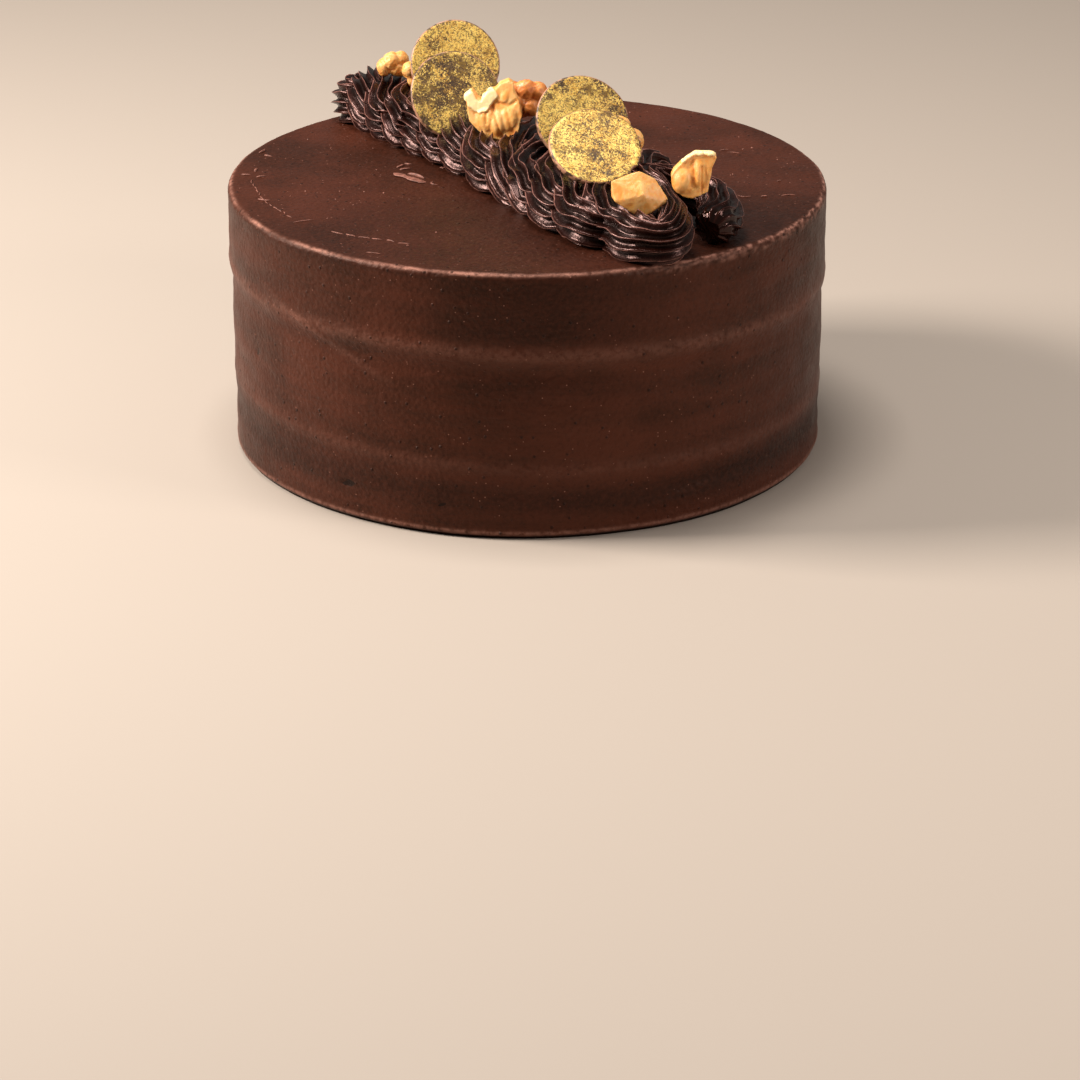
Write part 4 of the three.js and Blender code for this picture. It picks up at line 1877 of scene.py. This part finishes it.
WALNUTS = [
    WalnutPiece(
        "walnut_piece_back_left",
        (-78, 0, 21.8),
        PALE_SKIN,
        [
            Lobe((-3.2, 0, -1.2), (2.6, 3.4, 3.4)),
            Lobe((-0.6, -0.6, 1.2), (3, 3.4, 3.2), (0, 20, 0)),
            Lobe((2.6, 0.4, 1.4), (2.9, 3.2, 3), (0, 30, 0)),
            Lobe((1.6, -0.6, -1.6), (3.4, 3.2, 2.6)),
        ],
        wrinkle=0.42,
        wrinkle_size=2.2,
    ),
    WalnutPiece(
        "walnut_piece_left",
        (-67, 0, 20.8),
        PALE_SKIN,
        [Lobe((-0.4, 0, 1.2), (3, 3, 3.1)), Lobe((0.8, 0, -1.8), (2.4, 2.8, 3.2))],
        wrinkle=0.36,
        wrinkle_size=2.2,
    ),
    WalnutPiece(
        "walnut_piece_middle_front",
        (-9, -6, 23),
        PALE_SKIN,
        [
            Lobe((-3.4, -0.6, -3.2), (4.4, 2.9, 4.6), (0, -18, 0)),
            Lobe((0.2, -0.7, -4.2), (3.2, 3.2, 4.6)),
            Lobe((4, -0.5, -2.4), (3.8, 2.9, 5.2), (0, 12, 0)),
            Lobe((2.8, -0.2, 4.4), (2.4, 2.5, 4), (0, 24, 0)),
        ],
        outline=[
            (-8, 5.6),
            (-10.4, 3.6),
            (-9.8, 0),
            (-9, -4.2),
            (-6.2, -6.8),
            (-3.5, -9),
            (0, -9.3),
            (2.4, -9.5),
            (7.4, -6.6),
            (7.8, -3.6),
            (8.6, -1.3),
            (7.6, 3.2),
            (6, 5.6),
            (5.7, 8.6),
            (4.2, 9.4),
            (1.2, 8.1),
            (-0.2, 6.4),
            (-2.3, 5.9),
            (-4, 4.2),
            (-4.7, 2.6),
            (-6.2, 3.4),
        ],
        grooves=[
            Groove((-1.4, 1.6), (2, -9), 0.6, 0.6),
            Groove((-3.4, 0), (-3.4, -4), 0.6, 0.4),
            Groove((-0.2, 2.4), (4.4, 1.5), 0.5, 0.35),
            Groove((4.4, 1.5), (6.6, 3.2), 0.6, 0.35),
            Groove((-7, -1.5), (-5, -6.5), 0.8, 0.25),
            Groove((3.4, 0.5), (5.6, -7), 0.8, 0.3),
        ],
        flap=[(-9.1, 3.9), (-8.1, 1.9), (-6, 0.5), (-4.2, 0.9), (-2.8, 2.9), (-1.4, 4.6)],
        lean=(-0.26, 0.34),
        wrinkle=0.12,
        smoothing=2,
    ),
    WalnutPiece(
        "walnut_piece_middle_back",
        (-13.5, 9, 23.4),
        BROWN_SKIN,
        [
            Lobe((-4.4, 0, 2.2), (3.6, 3.4, 3.2), (0, -15, 0)),
            Lobe((0.4, -0.8, 2.8), (3.4, 3.6, 3.4)),
            Lobe((4.4, 0, 1.6), (3.4, 3.6, 3.6), (0, 20, 0)),
            Lobe((-2.2, -0.4, -1.6), (3.4, 3.8, 3.8)),
            Lobe((2, -0.6, -3), (3.4, 3.8, 3.6)),
            Lobe((-1, 2.4, -4.8), (3.2, 3.4, 3.2)),
        ],
        wrinkle=0.4,
        slot="brown_walnut",
    ),
    WalnutPiece(
        "walnut_piece_right_back",
        (44, 8, 21.8),
        PALE_SKIN,
        [
            Lobe((-2.4, 0.4, 5.2), (3.3, 3, 3.2), (0, 10, 0)),
            Lobe((2.3, -0.2, 0.6), (2.8, 3, 3.9), (0, -18, 0)),
            Lobe((-1.4, 0.6, -1.2), (3.2, 3, 5)),
        ],
        wrinkle=0.36,
        wrinkle_size=2.4,
    ),
    WalnutPiece(
        "walnut_chip_front",
        (80.3, -15.9, 17.6),
        PALE_SKIN,
        corners=[
            (-9, 0, 4.4),
            (-8.8, 0.6, -1),
            (-7.6, -2.8, -1.6),
            (-4, 2.6, 5.6),
            (0.4, 2, 7.2),
            (4.9, 2, 4.9),
            (9.2, 1, -1.6),
            (8.8, 0, -2.8),
            (4.4, -3, -4.6),
            (0.4, -3.6, -6.8),
            (-2.4, -3.4, -4.6),
            (1.2, -3.8, 1),
            (0, 3, -4),
            (6, 3.4, -1),
            (-6, 3.6, 0.4),
        ],
        wrinkle=0.14,
        smoothing=4,
    ),
    WalnutPiece(
        "walnut_chip_right",
        (84, 3, 21.4),
        PALE_SKIN,
        [
            Lobe((-3.4, -0.5, -1.4), (3.6, 3, 4.6), (0, 14, 0)),
            Lobe((1, -0.3, 1), (3.4, 3, 5.6), (0, 6, 0)),
            Lobe((4.2, 0, 1.4), (1.4, 2.4, 5), (0, 6, 0)),
        ],
        outline=[
            (0.4, 7.2),
            (-1.6, 5.8),
            (-4.3, 3.8),
            (-6.5, 1.4),
            (-7.2, -0.4),
            (-5.4, -4.6),
            (-3.4, -6.4),
            (-0.5, -6.9),
            (2.4, -5.6),
            (4.4, -4.6),
            (5, -0.7),
            (5.5, 2.6),
            (7.1, 6.2),
            (5.8, 7.3),
        ],
        half_depth=2.1,
        grooves=[
            Groove((-0.4, 4.4), (0, -2.6), 1.0, 0.7),
            Groove((2.5, 3.4), (2.5, -5), 0.4, 0.55),
            Groove((3.6, 2.5), (3.4, -4.5), 0.7, 0.25),
        ],
        flap=[(-3.6, 4.8), (-1.2, 6.6), (0.6, 7.4), (6.2, 7.4)],
        flap_width=0.65,
        lean=(-0.16, 0.2),
        wrinkle=0.12,
        smoothing=2,
    ),
]


# --------------------------------------------------------------------------- crumbs and shavings


@dataclass
class IcingCrumbs:
    """Dry crumbs strewn over the cake's top: one rough lump, laid at many sizes and turns."""

    density: float = 6500.0
    crumb_mm: float = 0.25
    smallest: float = 0.5
    largest: float = 1.6
    patchiness: float = 0.9
    seed: int = 23
    ground_radius_mm: float = 96.0
    ground_sides: int = 64

    def ground(self) -> bpy.types.Object:
        """Makes the patch of the cake's top that the crumbs lie on.

        Returns:
            The patch.
        """
        points = []
        for side in range(self.ground_sides):
            angle = side / self.ground_sides * 2.0 * math.pi
            reach = self.ground_radius_mm
            points.append((reach * math.cos(angle), reach * math.sin(angle), CAKE_HEIGHT_MM))
        mesh = mesh_from("crumb_ground", np.array(points) * MM, [tuple(range(self.ground_sides))])
        return link_mesh("crumb_ground", mesh)

    def tree(self) -> bpy.types.NodeTree:
        """Builds the tree that strews the crumbs.

        Returns:
            The tree.
        """
        inputs = dict.fromkeys(("Density", "Crumb Radius", "Smallest", "Largest", "Patchiness"), "Float")
        made = GeometryTree("strewn_crumbs", inputs | {"Seed": "Int", "Finish": "Material"})
        given = made.given
        area = {"Mesh": given["Geometry"], "Density": given["Density"], "Seed": given["Seed"]}
        spread = made.step("GeometryNodeDistributePointsOnFaces", area, distribute_method="RANDOM")
        place = made.step("GeometryNodeInputPosition", {})
        clumps = made.remap(made.texture(place, 30.0, 2.0), 0.55, 0.4)
        shrink = made.minus(1.0, made.times(clumps, given["Patchiness"]))
        ball = made.step("GeometryNodeMeshIcoSphere", {"Radius": given["Crumb Radius"], "Subdivisions": 2})
        lump = made.scaled(place, made.plus(0.45, made.texture(place, 2600.0, 1.0)))
        ball = made.step("GeometryNodeSetPosition", {"Geometry": ball, "Position": lump})
        turns = {0: (0.0, 0.0, 0.0), 1: (0.4, 0.4, 2.0 * math.pi), "Seed": given["Seed"]}
        around = made.step("FunctionNodeRandomValue", turns, data_type="FLOAT_VECTOR")
        turn = made.step("FunctionNodeEulerToRotation", {"Euler": around})
        sizes = {2: given["Smallest"], 3: given["Largest"], "Seed": given["Seed"]}
        size = made.node("FunctionNodeRandomValue", sizes, data_type="FLOAT").outputs[1]
        flat = made.step("ShaderNodeCombineXYZ", {"X": 1.3, "Y": 0.9, "Z": 0.8})
        scale = made.scaled(flat, made.times(size, shrink))
        laid = {"Points": spread, "Instance": ball, "Rotation": turn, "Scale": scale}
        return made.finished(made.step("GeometryNodeInstanceOnPoints", laid))

    def build(self) -> bpy.types.Object:
        """Builds the crumbs.

        Returns:
            The piece.
        """
        ground = self.ground()
        values = {
            "Density": self.density,
            "Crumb Radius": self.crumb_mm * MM,
            "Smallest": self.smallest,
            "Largest": self.largest,
            "Patchiness": self.patchiness,
            "Seed": self.seed,
            "Finish": DryCrumb().material("icing_crumb"),
        }
        run_tree(ground, self.tree(), values)
        piece = applied(ground, "icing_crumbs")
        piece.data.shade_smooth()
        dress(piece, "chocolate_icing", None)
        return piece


@dataclass(frozen=True)
class Shaving:
    """One thin shaving on the cake's top, in millimetres and degrees."""

    x: float
    y: float
    length: float
    width: float
    turn: float
    bend: float
    thick: float = 0.5

    def rings(self, steps: int, sides: int) -> list[Vector]:
        """Lists the rings of points along the shaving.

        Args:
            steps: How many rings there are.
            sides: How many points each ring has.

        Returns:
            The points, ring by ring, in millimetres.
        """
        points = []
        spot = Vector((0.0, 0.0))
        path = []
        for step in range(steps):
            share = step / (steps - 1) - 0.5
            heading = math.radians(self.turn + self.bend * share)
            forward = Vector((math.cos(heading), math.sin(heading)))
            path.append((spot.copy(), forward, share))
            spot += forward * (self.length / (steps - 1))
        middle = path[steps // 2][0]
        for spot, forward, share in path:
            place = Vector((self.x, self.y)) + spot - middle
            torn = 1.0 + 0.7 * noise.noise(Vector((place.x * 1.3, place.y * 1.3, 2.0)))
            round_off = math.sqrt(max(1.0 - 3.96 * share * share, 0.01))
            half = 0.5 * self.width * round_off * torn
            tall = 0.5 * self.thick * round_off
            for side in range(sides):
                angle = -side / sides * 2.0 * math.pi
                across = half * math.cos(angle)
                up = CAKE_HEIGHT_MM + 0.3 * tall + tall * math.sin(angle) + 0.12 * across
                points.append(Vector((place.x + forward.y * across, place.y - forward.x * across, up)))
        return points


@dataclass(frozen=True)
class Scrape:
    """A scraped line, broken into a count of thin shavings that are this wide at most."""

    start: tuple[float, float]
    end: tuple[float, float]
    count: int
    width: float


@dataclass
class IcingShavings:
    """The shavings, edge chips and scraped lines that lie on the cake's top."""

    steps: int = 13
    sides: int = 8
    seed: int = 4
    scrapes: tuple[Scrape, ...] = (
        Scrape((-62.8, -57.7), (-37.0, -70.4), 6, 1.1),
        Scrape((-92.4, -2.4), (-87.2, -23.6), 6, 0.6),
        Scrape((-86.4, -25.0), (-76.5, -43.3), 6, 0.45),
    )
    shavings: list[Shaving] = field(
        default_factory=lambda: [
            Shaving(-39.4, -0.4, 16.0, 4.6, -46, 8, 0.8),
            Shaving(-37.0, 1.8, 8.0, 1.0, -42, -20, 1.5),
            Shaving(-42.6, 13.0, 4.2, 1.2, 62, 60, 0.9),
            Shaving(-40.4, 15.0, 3.2, 0.9, -20, 80, 0.8),
            Shaving(-41.0, 9.4, 4.0, 1.1, 20, 50, 0.9),
            Shaving(-31.6, -6.9, 5.2, 0.8, -60, 150, 0.7),
            Shaving(-28.4, 11.0, 2.6, 1.6, -30, 20, 0.6),
            Shaving(-90.4, 30.0, 4.4, 0.9, 70, 60, 1.0),
            Shaving(-88.4, 24.4, 3.4, 0.8, -30, 40, 0.9),
            Shaving(-91.4, 8.4, 3.6, 0.8, 80, -40, 0.9),
            Shaving(-94.2, 3.0, 3.4, 0.9, -10, 30, 0.8),
            Shaving(-89.0, 1.0, 3.4, 0.9, 20, 20, 0.8),
            Shaving(-86.4, -24.6, 5.0, 1.0, -20, 60, 0.7),
            Shaving(67.4, 31.8, 3.4, 0.7, 20, 20, 0.5),
            Shaving(70.6, 28.6, 4.0, 0.35, -18, 0, 0.4),
            Shaving(71.0, -21.0, 6.0, 0.35, -12, 130, 0.5),
            Shaving(78.0, -20.4, 2.2, 1.0, 10, 0, 0.7),
            Shaving(86.0, -19.0, 5.0, 0.35, 8, -30, 0.5),
            Shaving(84.0, -3.4, 1.8, 0.8, 30, 0, 0.6),
            Shaving(-72.0, -46.6, 7.0, 0.5, 24, 0, 0.5),
            Shaving(-48.0, -79.0, 5.0, 0.35, -20, 10, 0.5),
        ]
    )

    def broken(self, scrape: Scrape) -> list[Shaving]:
        """Breaks a scraped line into thin shavings.

        Args:
            scrape: The line.

        Returns:
            The shavings.
        """
        chance = random.Random(self.seed + scrape.count)
        across = scrape.end[0] - scrape.start[0]
        up = scrape.end[1] - scrape.start[1]
        heading = math.degrees(math.atan2(up, across))
        length = math.dist(scrape.start, scrape.end) / scrape.count
        made = []
        for step in range(scrape.count):
            share = (step + 0.5) / scrape.count
            x = scrape.start[0] + across * share + chance.uniform(-0.5, 0.5)
            y = scrape.start[1] + up * share + chance.uniform(-0.5, 0.5)
            width = scrape.width * chance.uniform(0.25, 0.8)
            turn = heading + chance.uniform(-16, 16)
            reach = length * chance.uniform(0.7, 1.2)
            made.append(Shaving(x, y, reach, width, turn, chance.uniform(-50, 50)))
        return made

    def build(self) -> bpy.types.Object:
        """Builds the shavings.

        Returns:
            The piece.
        """
        scraped = [shaving for scrape in self.scrapes for shaving in self.broken(scrape)]
        skin = ring_faces(self.steps, self.sides)
        points: list[Vector] = []
        faces: list[tuple[int, ...]] = []
        for shaving in [*self.shavings, *scraped]:
            faces += [tuple(len(points) + corner for corner in face) for face in skin]
            points += shaving.rings(self.steps, self.sides)
        piece = link_mesh("icing_shavings", mesh_from("icing_shavings", np.array(points) * MM, faces))
        dress(piece, "chocolate_icing", DryCrumb().material("icing_shaving"))
        return piece


# --------------------------------------------------------------------------------- stage and camera


@dataclass(frozen=True)
class Lamp:
    """A soft square light: where it hangs, the length of its side, its power in watts and its colour."""

    name: str
    place: tuple[float, float, float]
    size: float
    power: float
    tint: Colour

    def hang(self, aim: Vector) -> None:
        """Adds the light to the scene.

        Args:
            aim: The point that it faces.
        """
        light = bpy.data.lights.new(self.name, "AREA")
        light.shape = "SQUARE"
        light.size = self.size
        light.energy = self.power
        light.color = self.tint
        holder = bpy.data.objects.new(self.name, light)
        holder.location = self.place
        holder.rotation_euler = (aim - Vector(self.place)).to_track_quat("-Z", "Y").to_euler()
        bpy.context.scene.collection.objects.link(holder)


@dataclass
class Studio:
    """The floor, the lights and the camera."""

    floor_half: float = 3.0
    camera_side: float = 0.00428
    camera_back: float = 1.14698
    camera_height: float = 0.44736
    camera_pitch: float = 23.121
    focal_px: float = 3578.4
    image_px: float = 1080.0
    sensor_mm: float = 36.0
    room_tint: Colour = (0.93, 0.88, 0.83)
    room_strength: float = 0.21
    lamp_aim: tuple[float, float, float] = (0.0, 0.0, 0.07)
    lamps: tuple[Lamp, ...] = (
        Lamp("key", (-0.95, -0.02, 0.7), 0.35, 23.0, (1.0, 0.9, 0.82)),
        Lamp("top", (-0.1, 0.0, 1.1), 0.35, 8.0, (1.0, 0.93, 0.88)),
        Lamp("side", (0.9, -0.45, 0.5), 0.3, 4.5, (1.0, 0.9, 0.84)),
    )

    def floor(self) -> bpy.types.Object:
        """Makes the plain pale floor.

        Returns:
            The floor.
        """
        half = self.floor_half
        points = np.array([(-half, -half, 0), (half, -half, 0), (half, half, 0), (-half, half, 0)])
        made = link_mesh("floor", mesh_from("floor", points, [(0, 1, 2, 3)]))
        made.data.materials.append(PaleFloor().material())
        return made

    def world(self) -> None:
        """Fills the room with a soft warm light."""
        sky = bpy.data.worlds.new("room")
        sky.use_nodes = True
        back = sky.node_tree.nodes["Background"]
        back.inputs["Color"].default_value = (*self.room_tint, 1.0)
        back.inputs["Strength"].default_value = self.room_strength
        bpy.context.scene.world = sky

    def camera(self) -> None:
        """Sets the camera at the photograph's viewing angle."""
        lens = bpy.data.cameras.new("camera")
        lens.sensor_width = self.sensor_mm
        lens.lens = self.sensor_mm * self.focal_px / self.image_px
        holder = bpy.data.objects.new("camera", lens)
        holder.location = (self.camera_side, -self.camera_back, self.camera_height)
        holder.rotation_euler = (math.radians(90.0 - self.camera_pitch), 0.0, 0.0)
        bpy.context.scene.collection.objects.link(holder)
        bpy.context.scene.camera = holder

    def build(self) -> None:
        """Builds the stage."""
        self.camera()
        self.floor()
        self.world()
        for lamp in self.lamps:
            lamp.hang(Vector(self.lamp_aim))
        bpy.context.scene.view_settings.view_transform = "Standard"


def main() -> None:
    """Builds the cake over the frame, piece by piece."""
    logging.basicConfig(level=logging.INFO, format="%(name)s: %(message)s")
    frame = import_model()
    LOG.info("frame holds %d nodes", len(frame["nodes"]))
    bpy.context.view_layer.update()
    Studio().build()
    IcedCake().build()
    discs = [disc.build() for disc in DISCS]
    walnuts = [walnut.build() for walnut in WALNUTS]
    PipedRope().build(walnuts, discs)
    IcingCrumbs().build()
    IcingShavings().build()


if __name__ == "__main__":
    main()
